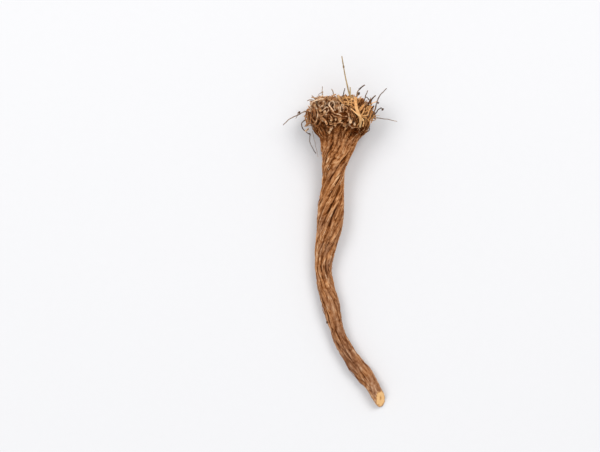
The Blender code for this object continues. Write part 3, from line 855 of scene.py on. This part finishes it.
# Blunt pale stem bases that face the camera: (radius, tint, points) as above.
STUBS = (
    (0.72, 0.60, ((-10.8, 64.8, 0.4), (-9.9, 62.9, 1.9), (-8.3, 61.2, 2.4), (-7.3, 59.2, 2.6))),
    (0.80, 0.80, ((-8.4, 66.6, 0.0), (-8.6, 65.8, 2.6))),
    (1.00, 0.62, ((-11.2, 67.8, 0.2), (-10.9, 67.0, 2.4))),
    (0.80, 0.88, ((-4.9, 57.7, 0.0), (-5.3, 56.5, 2.2))),
    (0.62, 0.86, ((-5.7, 55.6, 0.0), (-6.1, 54.7, 1.8))),
    (1.20, 0.66, ((-0.4, 62.9, 0.0), (-0.3, 61.4, 2.4))),
    (1.05, 0.96, ((5.2, 62.0, 0.0), (5.5, 60.6, 2.9))),
    (0.65, 0.92, ((7.6, 60.4, 0.0), (7.8, 59.1, 2.6))),
    (0.70, 0.75, ((-5.0, 62.6, 0.0), (-5.0, 61.4, 2.3))),
    (0.55, 0.84, ((-2.6, 62.6, 0.2), (-2.6, 61.7, 2.3))),
    (0.80, 0.55, ((-13.2, 60.2, 0.0), (-13.4, 60.8, 1.8))),
    (0.95, 0.50, ((2.2, 59.8, 0.0), (2.0, 58.6, 2.0))),
    (0.80, 0.60, ((-3.0, 60.2, 0.0), (-2.8, 58.8, 2.1))),
    (0.75, 0.70, ((-13.8, 70.4, 0.0), (-13.9, 70.2, 2.0))),
)

# The brown papery cap beside the pale stem, and the pale scale on the lower left wisp.
BROWN_SCALES = (
    ((11.2, 70.2, 2.2), (12.2, 74.0, 2.9), 1.5, -0.5, 0.42),
    ((-17.2, 57.4, -0.6), (-19.4, 55.8, -1.4), 0.8, -0.5, 0.95),
)

# The pale stem, in millimetres: (radius at the foot, radius at the tip, tint, points (x, y, height over the
# crown)). The second and third are its long olive stalk and the stalk's side twig.
STRAW = (
    (0.74, 0.98, 0.80, ((10.6, 58.0, 2.0), (10.9, 61.0, 2.0), (10.5, 63.6, 2.1), (9.1, 66.8, 2.3),
                        (8.3, 70.4, 2.4), (8.1, 74.2, 2.5))),
    (0.55, 0.30, 0.62, ((8.2, 72.2, 2.5), (6.2, 74.0, 2.6), (4.7, 76.4, 2.6), (3.7, 80.6, 2.8),
                        (2.5, 86.0, 3.0), (0.7, 96.4, 3.6))),
    (0.46, 0.26, 0.74, ((5.2, 75.4, 2.6), (5.3, 77.4, 2.9), (5.3, 79.6, 3.4))),
    (0.66, 0.28, 0.88, ((12.4, 61.6, 2.4), (10.7, 63.4, 2.6), (8.2, 65.6, 2.8), (5.6, 67.8, 2.8))),
    (0.50, 0.30, 0.60, ((10.6, 63.6, 2.1), (12.2, 65.6, 2.6), (13.4, 68.4, 3.0))),
    (0.50, 0.26, 0.66, ((10.7, 63.8, 2.1), (13.0, 64.1, 2.5), (14.9, 64.8, 2.8), (15.8, 67.4, 3.2),
                        (17.6, 69.6, 3.6))),
    (0.56, 0.44, 0.56, ((10.8, 62.6, 2.0), (12.7, 61.2, 2.2), (12.2, 58.4, 2.0))),
    (0.50, 0.30, 0.62, ((8.3, 70.8, 2.4), (5.0, 71.3, 2.6), (2.0, 71.6, 3.0))),
)
STALK = (1, 2)
STALK_NODE = (1.7, 90.6, 3.3)

# Golden sheaths on and beside the pale stem, as the sheaths above.
GOLD_SHEATHS = (
    ((9.4, 65.6, 2.0), (12.2, 69.4, 3.2), 0.95, 0.4, 0.56),
    ((8.4, 69.6, 2.4), (7.6, 74.6, 3.2), 0.90, 0.3, 0.84),
    ((15.6, 63.0, 0.8), (17.8, 66.8, 1.6), 0.70, 0.6, 0.20),
    ((3.0, 72.0, 1.6), (5.4, 74.6, 2.8), 0.75, 0.6, 0.34),
)

# Golden twigs and fibres round the pale stem: (radius, tint, points) as above.
GOLD_TWIGS = (
    (0.26, 0.42, ((12.3, 65.4, 2.0), (14.2, 66.4, 2.8), (14.4, 68.2, 3.2), (15.8, 69.6, 3.0))),
    (0.26, 0.46, ((14.3, 66.2, 2.0), (15.9, 67.6, 2.8), (16.6, 70.2, 3.2), (18.6, 71.6, 3.6),
                  (20.2, 72.5, 3.6))),
    (0.32, 0.42, ((14.4, 57.2, 0.8), (14.9, 59.8, 1.8), (15.1, 61.8, 2.2), (16.3, 64.0, 2.4),
                  (17.6, 66.9, 2.2))),
    (0.32, 0.40, ((17.6, 66.2, 1.0), (16.6, 63.0, 1.6), (16.2, 60.4, 1.4), (15.2, 58.6, 0.8))),
    (0.30, 0.34, ((18.5, 65.4, 0.8), (17.6, 62.2, 1.2), (17.0, 60.4, 0.8))),
    (0.30, 0.50, ((13.2, 64.0, 1.6), (13.9, 62.0, 2.4), (13.9, 59.6, 2.2), (13.4, 58.2, 1.2))),
    (0.36, 0.45, ((10.2, 60.4, 1.8), (9.4, 59.0, 2.0), (9.2, 57.8, 1.2))),
    (0.36, 0.74, ((-1.7, 75.2, 2.6), (-0.6, 73.0, 3.2), (0.9, 71.2, 3.0), (1.8, 70.0, 1.8))),
    (0.36, 0.52, ((0.8, 72.4, 2.4), (2.6, 73.6, 3.3), (5.0, 73.7, 3.4), (7.6, 72.6, 2.8))),
    (0.28, 0.50, ((3.2, 69.8, 2.2), (4.2, 71.8, 3.2), (6.2, 73.0, 3.2), (7.6, 74.4, 2.2))),
    (0.32, 0.46, ((1.8, 69.6, 1.8), (3.8, 70.4, 2.8), (5.8, 69.8, 2.8), (7.4, 68.6, 2.0))),
    (0.28, 0.66, ((2.4, 74.8, 2.2), (3.4, 73.0, 3.4), (4.4, 71.4, 3.3), (4.2, 69.6, 2.2))),
    (0.30, 0.40, ((6.4, 75.4, 2.0), (6.4, 73.2, 2.8), (5.8, 70.6, 2.8), (6.4, 68.8, 1.8))),
    (0.28, 0.50, ((0.6, 74.4, 1.8), (1.8, 72.2, 2.8), (2.2, 70.6, 2.6), (1.8, 69.2, 1.6))),
    (0.34, 0.52, ((11.4, 64.9, 2.2), (12.4, 63.4, 2.6), (14.2, 62.8, 2.4), (15.6, 61.6, 1.6))),
    (0.30, 0.56, ((16.6, 68.8, 2.0), (15.4, 68.2, 2.8), (14.6, 66.6, 2.6), (13.4, 66.0, 1.8))),
)

# Long dry stems and rootlets that stand out of the crown, in millimetres: (radius, tint, points).
WISPS = (
    (0.32, 0.55, ((-13.5, 65.3, 16.4), (-16.5, 66.2, 17.2), (-19.4, 66.7, 17.2), (-23.6, 64.6, 16.4),
                  (-28.0, 62.5, 15.0), (-31.2, 59.4, 13.4))),
    (0.20, 0.55, ((-21.9, 66.0, 17.0), (-22.9, 66.3, 16.9), (-23.4, 64.9, 16.5), (-24.2, 62.9, 16.0))),
    (0.32, 0.45, ((-14.0, 62.5, 9.6), (-17.8, 62.6, 8.9), (-20.6, 61.4, 8.2), (-21.2, 59.2, 7.6),
                  (-19.9, 57.0, 7.2), (-17.8, 55.2, 7.0), (-16.5, 54.5, 7.0))),
    (0.25, 0.40, ((-17.4, 55.0, 7.0), (-16.4, 54.2, 7.0), (-16.4, 50.0, 6.2), (-13.2, 44.0, 4.6))),
    (0.12, 0.80, ((-15.2, 56.2, 8.0), (-14.7, 54.0, 7.4), (-13.4, 48.0, 6.0), (-12.0, 42.3, 4.8))),
    (0.26, 0.70, ((-9.4, 69.0, 18.0), (-9.5, 74.0, 19.4), (-9.9, 77.0, 19.8), (-9.7, 80.2, 20.2))),
    (0.18, 0.80, ((-9.6, 77.0, 19.8), (-11.2, 76.4, 19.4), (-13.0, 74.0, 19.0))),
    (0.34, 0.55, ((-10.6, 68.4, 15.4), (-13.0, 71.6, 17.6), (-15.4, 72.9, 18.3), (-18.0, 72.6, 18.2))),
    (0.30, 0.70, ((-11.6, 69.8, 16.0), (-13.6, 73.4, 17.6), (-15.6, 75.4, 18.0))),
    (0.34, 0.80, ((-2.6, 69.0, 17.0), (-3.0, 74.4, 17.5), (-4.6, 79.0, 17.8))),
    (0.34, 0.30, ((1.0, 69.0, 19.0), (1.0, 73.0, 20.2), (1.7, 76.0, 20.6), (2.6, 79.2, 20.9))),
    (0.40, 0.75, ((8.4, 69.0, 16.0), (9.1, 75.0, 18.4), (9.3, 76.9, 18.6), (10.6, 79.0, 19.0))),
    (0.42, 0.25, ((10.3, 78.7, 18.9), (11.4, 79.7, 19.2), (13.4, 81.2, 19.8))),
    (0.32, 0.55, ((11.6, 68.6, 15.0), (13.4, 73.6, 17.2), (14.2, 76.0, 17.8), (15.0, 78.2, 18.0))),
    (0.46, 0.25, ((13.0, 67.4, 15.0), (16.6, 72.3, 16.4), (17.6, 73.8, 16.8), (19.4, 75.6, 17.0))),
    (0.32, 0.40, ((14.6, 62.0, 17.0), (17.3, 64.8, 17.9), (18.9, 67.4, 18.4), (20.1, 71.4, 19.0),
                  (21.3, 74.6, 19.6), (23.2, 77.0, 20.0), (25.3, 79.0, 20.2))),
    (0.30, 0.28, ((17.2, 70.4, 15.8), (16.4, 72.2, 16.6), (15.2, 73.9, 17.0), (14.2, 74.5, 17.2))),
    (0.32, 0.42, ((14.8, 61.5, 14.5), (17.4, 63.6, 14.8), (19.2, 65.4, 15.0), (20.5, 67.2, 15.2),
                  (22.0, 68.6, 15.2), (22.9, 68.4, 15.1), (23.4, 67.7, 15.0))),
    (0.24, 0.60, ((14.8, 62.8, 12.0), (18.0, 63.2, 12.1), (21.6, 63.2, 12.2), (25.6, 62.6, 12.6),
                  (31.3, 61.4, 13.2))),
    (0.85, 0.30, ((-3.5, -48.6, 4.4), (-5.6, -48.7, 4.6), (-7.4, -49.2, 4.8))),
)

# Small swellings on the wisps, in millimetres: (radius, tint, place).
KNOBS = (
    (0.52, 0.40, (-22.4, 66.2, 17.0)), (0.70, 0.25, (10.1, 76.3, 18.6)), (0.55, 0.20, (23.3, 67.9, 15.0)),
    (0.40, 0.70, (-9.7, 77.0, 19.8)), (0.50, 0.20, (16.9, 72.8, 16.6)), (0.42, 0.35, (20.7, 71.3, 19.0)),
)
KNOB_AXIS = Vector((0.5, 0.8, 0.1))


def tapered(route, radius, tip_radius, seed, lumpy):
    """A radius at each point of the route, from one size to the other, with low lumps."""
    last = len(route) - 1
    radii = []
    for k in range(last + 1):
        plain = (radius + (tip_radius - radius) * k / last) * MM
        radii.append(plain * (1 + lumpy * noise.noise(Vector((seed, 5, 18 * k / last)))))
    return radii


def hand_placed(rows, steps, lumpy, wander=0.0):
    """(route, radii, tint) for each row of (radius, tint, points over the crown)."""
    placed = []
    for index, (radius, tint, knots) in enumerate(rows):
        route = smooth_route([over_crown(knot) for knot in knots], steps)
        route = [point + wander * noise.noise_vector(point * 650) for point in route]
        placed.append((route, tapered(route, radius, 0.8 * radius, 3.7 * index, lumpy), tint))
    return placed


def straw_routes():
    """The same for the pale stem, whose rows give both radii."""
    placed = []
    for index, (foot_radius, tip_radius, tint, knots) in enumerate(STRAW):
        route = smooth_route([over_crown(knot) for knot in knots], 8)
        placed.append((route, tapered(route, foot_radius, tip_radius, 5.3 * index, 0.22), tint))
    return placed


# The crown

# How many of each are tried, before those that would hide something are left out, and their seeds.
STEM_COUNT, STEM_SEED = 820, 21
CURL_COUNT, CURL_SEED = 330, 33
SCALE_COUNT, SCALE_SEED = 300, 47
HAIR_COUNT, HAIR_SEED = 200, 58
FIBRE_COUNT, FIBRE_SEED = 100, 71
NECK_STRANDS, SHAFT_FIBRES, STRAND_SEED = 130, 90, 82
CLUMP_COUNT, CLUMP_SEED = 26, 64

BLUNT = ((0.60, 1.15), (2.4, 4.6))  # a stem's radius and reach as ranges, in millimetres
SLENDER = ((0.28, 0.55), (3.6, 7.0))
STEM_SUNK = 1.5 * MM
STEM_STEPS = 6
CURL_STEPS = 18
STRAND_STEPS = 14
CLUMP_MIDDLE = (8.6, 56.4)  # of the matted rootlets under the crown's right side, whose near-black tint is painted shade, in millimetres
CLUMP_SPREAD = (2.6, 1.1)


def stem_bases(bark, end, clear, stubs):
    """Blunt and slender dry stem bases all over the crown, and the pale ones that the camera sees."""
    heap = Heap()
    draw = random.Random(STEM_SEED)
    for foot, outward in crown_spots(STEM_COUNT, draw, 1.0 * MM):
        radius_range, reach_range = BLUNT if draw.random() < 0.5 else SLENDER
        radius = draw.uniform(*radius_range) * MM
        reach = draw.uniform(*reach_range) * MM
        heading = (outward + Vector((0, 0.75, 0)) + 0.6 * astray(draw)).normalized()
        bend = heading.cross(astray(draw)).normalized() * reach * draw.uniform(0.05, 0.6)
        start = foot - outward * STEM_SUNK
        tint = crown_tint(draw, 0.50, foot)
        phase = draw.uniform(0, TURN)
        route, radii = [], []
        for k in range(STEM_STEPS + 1):
            t = k / STEM_STEPS
            wobble = 0.06 * reach * noise.noise_vector(Vector((foot.x * 900, foot.y * 900, 3 * t)))
            lump = noise.noise(Vector((foot.z * 700, foot.x * 700, 6 * t)))
            route.append(start + heading * (reach * t) + bend * t * t + wobble)
            radii.append(radius * (1.12 - 0.2 * t + 0.18 * lump))
        slack = draw.uniform(*MASS_SLACK)
        if not stands_out(route, slack) and not clear.covered_by(route, radii):
            heap.sweep(above_floor(route, radii), radii, 8, tint, rib=0.09, phase=phase, broken=True)
    for index, (route, radii, tint) in enumerate(stubs):
        heap.sweep(route, radii, 12, tint, rib=0.08, phase=index, broken=True, foot_tip=0.3)
    return heap.build("stem_bases", bark, end)


def curl_route(foot, outward, size, lift, turns, draw):
    across = outward.cross(astray(draw)).normalized()
    drift = outward.cross(across) * draw.uniform(-1.3, 1.3) * MM
    route = []
    for k in range(CURL_STEPS + 1):
        t = k / CURL_STEPS
        climb = outward * (lift * min(1.0, 3 * t) + size * (1 - math.cos(turns * t)) - 0.8 * MM)
        route.append(foot + climb + across * (size * math.sin(turns * t)) + drift * t)
    return route


def rootlet_curls(look, clear, loops):
    heap = Heap()
    draw = random.Random(CURL_SEED)
    for foot, outward in crown_spots(CURL_COUNT, draw, 1.5 * MM):
        size = draw.uniform(0.8, 1.8) * MM
        radius = draw.uniform(0.20, 0.40) * MM
        turns = draw.uniform(0.9, 2.1) * math.pi
        route = curl_route(foot, outward, size, draw.uniform(0.4, 2.2) * MM, turns, draw)
        radii = [radius * (1.1 - 0.4 * k / CURL_STEPS) for k in range(CURL_STEPS + 1)]
        tint = crown_tint(draw, 0.58, foot)
        slack = draw.uniform(*MASS_SLACK)
        if not stands_out(route, slack) and not clear.covered_by(route, radii):
            heap.sweep(above_floor(route, radii), radii, 6, tint, foot_tip=0.2)
    for index, (route, radii, tint) in enumerate(loops):
        heap.sweep(route, radii, 8, tint, rib=0.16, phase=index, foot_tip=LOOP_FOOT_TIP)
    return heap.build("rootlet_curls", look)


def strand_route(angle, where, length, drift, lift):
    """A route down over the bark, which leaves its surface and comes back to it."""
    route = []
    for k in range(STRAND_STEPS + 1):
        t = k / STRAND_STEPS
        at = min(where + length * t, LAST - 1.2)
        foot = root_surface(angle + drift * t * t, at)
        outward = (foot - station(at)[0]).normalized()
        route.append(foot + outward * lift * (1.5 * math.sin(math.pi * t) - 0.5))
    return route


def bark_strands(look):
    """Dry strands that run from the crown down over the neck, and thin peeling fibres on the shaft."""
    heap = Heap()
    draw = random.Random(STRAND_SEED)
    for index in range(NECK_STRANDS):
        angle = (index * GOLDEN_ANGLE + draw.uniform(-0.3, 0.3)) % TURN
        where, length, drift = draw.uniform(3.9, 5.0), draw.uniform(0.5, 1.5), draw.uniform(-0.25, 0.25)
        route = strand_route(angle, where, length, drift, draw.uniform(0.3, 0.8) * MM)
        radii = tapered(route, draw.uniform(0.2, 0.42), 0.14, index, 0.5)
        heap.sweep(above_floor(route, radii), radii, 6, some_tint(draw, 0.42, 0.17), foot_tip=0.35)
    for index in range(SHAFT_FIBRES):
        angle = (index * GOLDEN_ANGLE + draw.uniform(-0.3, 0.3)) % TURN
        where, length, drift = draw.uniform(5.2, 20.0), draw.uniform(0.4, 1.1), draw.uniform(-0.25, 0.25)
        route = strand_route(angle, where, length, drift, draw.uniform(0.25, 0.55) * MM)
        radii = tapered(route, draw.uniform(0.14, 0.24), 0.1, index, 0.5)
        heap.sweep(above_floor(route, radii), radii, 6, some_tint(draw, 0.52, 0.14), foot_tip=0.75)
    return heap.build("bark_strands", look)


def lay_sheaths(heap, rows):
    """Cupped sheaths from foot to tip that face up."""
    for start, end, width, cup, tint in rows:
        foot, tip = over_crown(start), over_crown(end)
        heading = (tip - foot).normalized()
        across = heading.cross(Vector((0, 0, 1))).normalized()
        heap.leaf(foot, heading, across, (tip - foot).length, width * MM, -cup, 0.2 * MM, tint, 11, 9)


def papery_scales(look, clear):
    heap = Heap()
    draw = random.Random(SCALE_SEED)
    for foot, outward in crown_spots(SCALE_COUNT, draw, 2.5 * MM):
        heading = (outward + Vector((0, 0.8, 0)) + 0.8 * astray(draw)).normalized()
        across = heading.cross(outward + 0.6 * astray(draw)).normalized()
        length = draw.uniform(2.8, 5.0) * MM
        width = draw.uniform(0.8, 1.5) * MM
        cup = draw.uniform(-0.9, 0.9)
        tint = crown_tint(draw, 0.5, foot)
        axis = [foot + heading * length * k / 4 for k in range(5)]
        if not stands_out(axis, MASS_SLACK[1]) and not clear.covered_by(axis, [width] * 5):
            heap.leaf(foot - outward * 0.6 * MM, heading, across, length, width, cup, 0.12 * MM, tint)
    lay_sheaths(heap, SHEATHS + BROWN_SCALES)
    return heap.build("papery_scales", look)


def wandering_route(foot, heading, outward, draw):
    point = foot - outward * 0.5 * MM
    knots = [point.copy()]
    for _ in range(4):
        heading = (heading + 0.5 * astray(draw) + 0.1 * outward).normalized()
        point = point + heading * draw.uniform(0.8, 2.0) * MM
        knots.append(point.copy())
    return smooth_route(knots, 4)


def fine_hairs(look, clear):
    heap = Heap()
    draw = random.Random(HAIR_SEED)
    for foot, outward in crown_spots(HAIR_COUNT, draw, 2.5 * MM):
        heading = (0.7 * outward + Vector((0, 0.5, 0)) + 0.9 * astray(draw)).normalized()
        route = wandering_route(foot, heading, outward, draw)
        radius = draw.uniform(0.07, 0.14) * MM
        radii = [radius * (1.1 - 0.6 * k / (len(route) - 1)) for k in range(len(route))]
        tint = draw.uniform(0.4, 1.0)
        if not clear.covered_by(route, radii):
            heap.sweep(above_floor(route, radii), radii, 5, tint)
    return heap.build("fine_hairs", look)


def dark_clump(look):
    """Matted rootlets that hang under the crown's right side, tinted nearly black as painted shade under the
    crown's overhang.
    """
    heap = Heap()
    draw = random.Random(CLUMP_SEED)
    for _ in range(CLUMP_COUNT):
        x = CLUMP_MIDDLE[0] + CLUMP_SPREAD[0] * draw.uniform(-1, 1)
        y = CLUMP_MIDDLE[1] + CLUMP_SPREAD[1] * draw.uniform(-1, 1)
        heading = draw.uniform(0, TURN)
        knots = [(x, y, -0.6)]
        for lift in (0.8, 1.6, 1.5, 0.4):
            heading += draw.uniform(0.2, 1.1)
            x, y = x + 1.0 * math.cos(heading), y + 0.8 * math.sin(heading)
            knots.append((x, y, lift))
        route = smooth_route([over_crown(knot) for knot in knots], 5)
        radii = tapered(route, draw.uniform(0.2, 0.42), 0.2, x, 0.3)
        # A tint near black: painted shade under the crown's overhang.
        heap.sweep(route, radii, 7, some_tint(draw, 0.08, 0.14))
    return heap.build("dark_clump", look)


def long_wisps(look):
    heap = Heap()
    for index, (radius, tint, knots) in enumerate(WISPS):
        route = smooth_route([Vector(knot) * MM for knot in knots], 9)
        last = len(route) - 1
        for k, point in enumerate(route):
            swing = noise.noise_vector(Vector((index * 3.1, 0, 9 * k / last)))
            point += swing * 0.28 * MM * min(1.0, 5 * k / last)
        heap.sweep(route, tapered(route, 1.15 * radius, 0.7 * radius, 7.7 * index, 0.28), 8, tint, rib=0.08)
    for index, (radius, tint, place) in enumerate(KNOBS):
        centre = Vector(place) * MM
        route = [centre + KNOB_AXIS * MM * radius * t for t in (-1.6, -1.2, -0.6, 0.0, 0.6, 1.2, 1.6)]
        radii = [radius * MM * size for size in (0.1, 0.6, 0.95, 1.05, 0.9, 0.55, 0.1)]
        heap.sweep(route, radii, 9, tint, rib=0.16, phase=index)
    return heap.build("long_wisps", look)


def pale_stem(look, routes):
    heap = Heap()
    for index, (route, radii, tint) in enumerate(routes):
        if index not in STALK:
            heap.sweep(route, radii, 12, tint, rib=0.09, phase=index, foot_tip=0.4 if index else 0.0)
    return heap.build("pale_stem", look)


def straw_stalk(look, routes):
    heap = Heap()
    for index in STALK:
        route, radii, tint = routes[index]
        heap.sweep(route, radii, 10, tint, rib=0.07, phase=index)
    node = over_crown(STALK_NODE)
    route = [node + Vector((-0.15, 0.8, 0.05)) * t * MM for t in (-1.0, -0.5, 0.0, 0.5, 1.0)]
    heap.sweep(route, [size * MM for size in (0.30, 0.46, 0.52, 0.44, 0.28)], 10, 0.15)
    return heap.build("straw_stalk", look)


def golden_fibres(look, clear, twigs):
    """Golden twigs round the pale stem, and thin fibres that lie over the crown's right side."""
    heap = Heap()
    draw = random.Random(FIBRE_SEED)
    for index, (route, radii, tint) in enumerate(twigs):
        heap.sweep(route, radii, 8, tint, rib=0.14, phase=index)
    lay_sheaths(heap, GOLD_SHEATHS)
    for _ in range(FIBRE_COUNT):
        gathered = draw.random() < 0.4
        x = draw.uniform(1.0, 8.0) if gathered else draw.uniform(6.0, 17.5)
        y = draw.uniform(69.6, 74.4) if gathered else draw.uniform(59.5, 72.0)
        heading = draw.uniform(-1.0, 1.0) if gathered else draw.uniform(0.1, 0.9) * math.pi
        lift = draw.uniform(0.6, 1.6)
        knots = [(x, y, lift - 1.6)]
        for _ in range(4):
            heading += draw.uniform(-0.6, 0.6)
            step = draw.uniform(0.6, 1.6)
            x, y = x + step * math.cos(heading), y + step * math.sin(heading)
            lift += draw.uniform(-0.3, 0.4)
            knots.append((min(x, 18.0), min(y, 75.4), lift))
        route = smooth_route([over_crown(knot) for knot in knots], 4)
        radii = tapered(route, draw.uniform(0.14, 0.34), 0.14, x, 0.2)
        tint = draw.uniform(0.2, 0.6) if gathered else draw.uniform(-0.1, 0.35)
        hanging = any(point.y < skirt_line(point.x) - 2 * MM for point in route)
        if not hanging and not clear.covered_by(route, radii):
            heap.sweep(route, radii, 6, tint)
    return heap.build("golden_fibres", look)


# The stage

PHOTO = (600, 452)
MM_PER_PIXEL = 0.55
ORIGIN_PIXEL = (340.0, 233.3)
SENSOR_WIDTH = 36
CAMERA_DISTANCE = 1.6
SHARP_HEIGHT = 9 * MM  # height over the floor at which a millimetre keeps its pixel size
FLOOR_SIZE = 3.0
SKY_COLOUR = (0.975, 0.985, 1.0, 1)
SKY_STRENGTH = 0.62


def make_camera():
    data = bpy.data.cameras.new("camera")
    data.sensor_width = SENSOR_WIDTH
    width = PHOTO[0] * MM_PER_PIXEL * MM
    data.lens = SENSOR_WIDTH * (CAMERA_DISTANCE - SHARP_HEIGHT) / width
    data.clip_end = 20
    camera = bpy.data.objects.new("camera", data)
    x = (PHOTO[0] / 2 - ORIGIN_PIXEL[0]) * MM_PER_PIXEL * MM
    y = (ORIGIN_PIXEL[1] - PHOTO[1] / 2) * MM_PER_PIXEL * MM
    camera.location = (x, y, CAMERA_DISTANCE)
    bpy.context.scene.collection.objects.link(camera)
    bpy.context.scene.camera = camera


def area_light(name, place, size, power, colour):
    data = bpy.data.lights.new(name, "AREA")
    data.shape = "DISK"
    data.size = size
    data.energy = power
    data.color = colour
    light = bpy.data.objects.new(name, data)
    light.location = place
    light.rotation_euler = (-Vector(place)).to_track_quat("-Z", "Y").to_euler()
    bpy.context.scene.collection.objects.link(light)


def make_stage():
    half = FLOOR_SIZE / 2
    corners = [(-half, -half, 0), (half, -half, 0), (half, half, 0), (-half, half, 0)]
    mesh_piece("floor", corners, [(0, 1, 2, 3)], [floor_look()])
    world = bpy.data.worlds.new("studio")
    world.use_nodes = True
    background = world.node_tree.nodes["Background"]
    background.inputs["Color"].default_value = SKY_COLOUR
    background.inputs["Strength"].default_value = SKY_STRENGTH
    bpy.context.scene.world = world
    bpy.context.scene.view_settings.view_transform = "Standard"
    area_light("key", (1.15, 1.4, 2.4), 1.7, 46.0, (1.0, 0.985, 0.965))
    area_light("fill", (-1.5, 0.8, 2.4), 1.6, 35.5, (1.0, 1.0, 1.0))
    make_camera()


def main():
    noise.seed_set(NOISE_SEED)
    make_stage()
    bark = bark_look()
    wood = mottled_look("cut_wood", "ring", CUT_WOOD, 700, 0.17)
    end = mottled_look("broken_end", "tint", BROKEN_END, 1500, 0.3)
    brown = stem_look("dry_stems", BROWN_STEM, 0.22)
    gold = stem_look("gold_straw", GOLD_STEM, 0.55)
    olive = stem_look("olive_straw", OLIVE_STEM, 0.9)
    dark = stem_look("dark_stems", DARK_STEM, 0.85)

    routes = straw_routes()
    loops = hand_placed(LOOPS, 7, 0.5, 0.4 * MM)
    twigs = hand_placed(GOLD_TWIGS, 7, 0.4, 0.4 * MM)
    stubs = hand_placed(STUBS, 5, 0.2)
    clear = KeptClear()
    for route, radii, _ in routes + loops + twigs:
        clear.add(route[2:], radii[0])
    for route, radii, _ in stubs:
        clear.add(route[-2:], radii[0])
    for start, stop, width, _, _ in SHEATHS + BROWN_SCALES[:1] + GOLD_SHEATHS[:2]:
        middle_line = [over_crown(start).lerp(over_crown(stop), share) for share in (0.4, 0.7, 1.0)]
        clear.add(middle_line, 0.7 * width * MM)
    for x, y, radius in HOLLOWS:
        clear.add([over_crown((x, y, HOLLOW_LIFT))], radius * MM)

    root = root_piece(bark)
    dressed = [
        root,
        cut_face(cut_off(root), wood),
        stem_bases(brown, end, clear, stubs),
        rootlet_curls(brown, clear, loops),
        papery_scales(brown, clear),
        fine_hairs(gold, clear),
        dark_clump(brown),
        bark_strands(brown),
        long_wisps(dark),
    ]
    for piece in dressed:
        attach(piece, "root")
        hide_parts("taproot")
    straw_clear = KeptClear()
    for route, radii, _ in routes:
        straw_clear.add(route[2:], radii[0])
    straw = [
        pale_stem(gold, routes),
        straw_stalk(olive, routes),
        golden_fibres(gold, straw_clear, twigs),
    ]
    for piece in straw:
        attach(piece, "root")
        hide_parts("straw_stem")


main()
